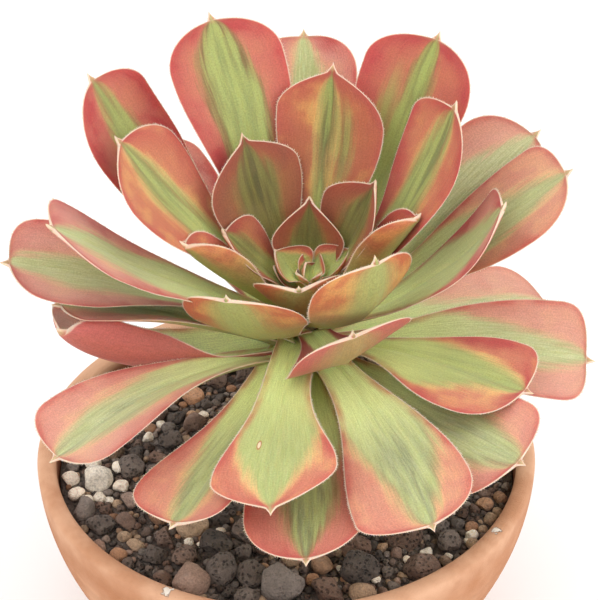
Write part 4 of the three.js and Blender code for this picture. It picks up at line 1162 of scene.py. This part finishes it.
class BuildGrit(bpy.types.Operator):
    """Builds the bed of grit and its stones."""

    bl_idname = "aeonium.build_grit"
    bl_label = "Grit"

    def execute(self, context):
        """Fills the pan and scatters the stones by kind."""
        settings, pan = context.scene.aeonium_grit, context.scene.aeonium_pan
        stone_group(settings)
        z = np.linspace(pan.base + GRIT_LIFT, settings.level, 12)
        side = np.stack([wall_radius(z, pan) - pan.wall - GRIT_PLAY, z], -1)
        rings = np.linspace(side[-1, 0], 0, 60)[1:]
        bed = np.stack([rings, 0 * rings + settings.level], -1)
        points, quads, triangles = turned(np.vstack([[0, side[0, 1]], side, bed]), 180)
        rough = np.zeros(len(points))
        top = points[:, 2] > settings.level - 1e-6
        for height, seed, wavelength in BED_WAVES:
            rough[top] += height * waves(points[top] / MM, seed, wavelength)
        points[:, 2] += rough
        tint = {"stone_tint": np.full((len(points), 3), 0.35)}
        piece = mesh_piece("grit_bed", points, quads, triangles, tint)
        material = stone_material("grit bed", settings.lava, 0.6, 0.3, BED_RELIEF)
        finish_piece(piece, material, "soil")

        stones = scattered(settings, pan)
        for number, (kind, (_, cuts, rough, pits)) in enumerate(STONE_KINDS.items()):
            parts = []
            for low, high, steps in STONE_STEPS:
                chosen = [stone for stone in stones if stone[0] == kind and low <= stone[3] < high]
                if chosen:
                    parts.append(stone_arrays(chosen, steps, settings.seed + 10 * number + steps,
                                              cuts, settings.level / MM, rough))
            points, quads, triangles, tint = joined(parts)
            vary, dust = 0.7, {}
            if kind == "pumice":
                tint, vary, dust = 0.45 + 0.4 * tint, 0.2, {"Dust": (*PUMICE_DUST, 1)}
            piece = mesh_piece(kind + "_stones", points * MM, quads, triangles,
                               {"stone_tint": tint})
            material = stone_material(kind, getattr(settings, kind), pits, vary, STONE_RELIEF,
                                      **dust)
            finish_piece(piece, material)
        return {"FINISHED"}


class BuildStem(bpy.types.Operator):
    """Builds the stem with its leaf scars."""

    bl_idname = "aeonium.build_stem"
    bl_label = "Stem"

    def execute(self, context):
        """Winds the scars round the stem and gives it bark."""
        points, quads, triangles = stem_arrays()
        tint = {"stone_tint": np.full((len(points), 3), 0.5)}
        stem = mesh_piece("stem_bark", points * MM, quads, triangles, tint)
        finish_piece(stem, stone_material("bark", BARK, 0.2, 0.2, BARK_RELIEF), "stem")
        return {"FINISHED"}


class BuildLeaves(bpy.types.Operator):
    """Builds every leaf of the rosette."""

    bl_idname = "aeonium.build_leaves"
    bl_label = "Leaves"

    def execute(self, context):
        """One piece for each row of the table."""
        settings = context.scene.aeonium_leaf
        group = leaf_skin_group(settings)
        for leaf in map(leaf_from_row, LEAVES):
            piece = leaf_piece("blade_" + leaf["name"], [leaf], settings)
            finish_piece(piece, leaf_material(leaf["name"], group), "leaf_" + leaf["name"])
        return {"FINISHED"}


class BuildBud(bpy.types.Operator):
    """Builds the bud in the heart of the rosette."""

    bl_idname = "aeonium.build_bud"
    bl_label = "Bud"

    def execute(self, context):
        """Fuses the young leaves in one piece."""
        settings = context.scene.aeonium_leaf
        piece = leaf_piece("bud", [leaf_from_row(row) for row in BUD_LEAVES], settings)
        group = bpy.data.node_groups["Leaf skin"]
        finish_piece(piece, leaf_material("bud", group), "bud")
        return {"FINISHED"}


class BuildStage(bpy.types.Operator):
    """Sets the floor, the light and the camera."""

    bl_idname = "aeonium.build_stage"
    bl_label = "Stage"

    def execute(self, context):
        """Puts the camera at its angle and lights the plant softly."""
        settings, scene = context.scene.aeonium_stage, context.scene
        corners = FLOOR_HALF * np.array([[-1, -1, 0], [1, -1, 0], [1, 1, 0], [-1, 1, 0]])
        floor = mesh_piece("floor", corners - [0, 0, FLOOR_DROP], np.array([[0, 1, 2, 3]]))
        paint = bpy.data.materials.new("floor")
        paint.use_nodes = True
        shader = paint.node_tree.nodes["Principled BSDF"]
        shader.inputs["Base Color"].default_value = (*settings.floor, 1)
        shader.inputs["Roughness"].default_value = 0.9
        floor.data.materials.append(paint)

        world = bpy.data.worlds.new("studio")
        world.use_nodes = True
        sky = world.node_tree.nodes["Background"]
        sky.inputs[0].default_value, sky.inputs[1].default_value = (1, 1, 1, 1), SKY_LIGHT
        scene.world = world
        for name, place, width, power in LAMPS:
            light = bpy.data.lights.new(name, "AREA")
            light.size, light.energy = width, power
            lamp = bpy.data.objects.new(name, light)
            lamp.location = place
            lamp.rotation_mode = "QUATERNION"
            aim = Vector(place) - Vector((0, 0, LAMP_AIM))
            lamp.rotation_quaternion = aim.to_track_quat("Z", "Y")
            scene.collection.objects.link(lamp)

        camera = bpy.data.objects.new("camera", bpy.data.cameras.new("camera"))
        camera.data.lens, camera.data.sensor_width = settings.lens, CAMERA_SENSOR
        back = Vector((0, -np.cos(settings.elevation), np.sin(settings.elevation)))
        camera.location = Vector(CAMERA_AIM) + back * settings.distance
        camera.rotation_mode = "QUATERNION"
        camera.rotation_quaternion = back.to_track_quat("Z", "Y")
        camera.data.clip_start, camera.data.clip_end = 0.01, 50
        scene.collection.objects.link(camera)
        scene.camera = camera
        scene.view_settings.view_transform = "Standard"
        return {"FINISHED"}


class AeoniumPanel(bpy.types.Panel):
    """Lists the pieces and their settings in the 3D view's sidebar."""

    bl_idname = "VIEW3D_PT_aeonium"
    bl_label = "Potted aeonium"
    bl_space_type = "VIEW_3D"
    bl_region_type = "UI"
    bl_category = "Aeonium"

    def draw(self, context):
        """One button and one box of settings for each group of pieces."""
        for key, operators in PANEL_ROWS.items():
            box = self.layout.box()
            for operator in operators:
                box.operator(operator.bl_idname)
            settings = getattr(context.scene, key)
            for name in settings.__annotations__:
                box.prop(settings, name)


SETTINGS = {"aeonium_pan": PanSettings, "aeonium_grit": GritSettings,
            "aeonium_leaf": LeafSettings, "aeonium_stage": StageSettings}
PANEL_ROWS = {"aeonium_pan": [BuildPan], "aeonium_grit": [BuildGrit, BuildStem],
              "aeonium_leaf": [BuildLeaves, BuildBud], "aeonium_stage": [BuildStage]}
OPERATORS = [operator for row in PANEL_ROWS.values() for operator in row]


def register():
    """Registers the settings, the operators and the panel."""
    for cls in (*SETTINGS.values(), *OPERATORS, AeoniumPanel):
        bpy.utils.register_class(cls)
    for key, cls in SETTINGS.items():
        setattr(bpy.types.Scene, key, bpy.props.PointerProperty(type=cls))


def unregister():
    """Takes them away again."""
    for key in SETTINGS:
        delattr(bpy.types.Scene, key)
    for cls in (AeoniumPanel, *reversed(OPERATORS), *SETTINGS.values()):
        bpy.utils.unregister_class(cls)


def main():
    """Builds the plant piece by piece."""
    register()
    for operator in OPERATORS:
        group, name = operator.bl_idname.split(".")
        getattr(getattr(bpy.ops, group), name)()


if __name__ == "__main__":
    main()
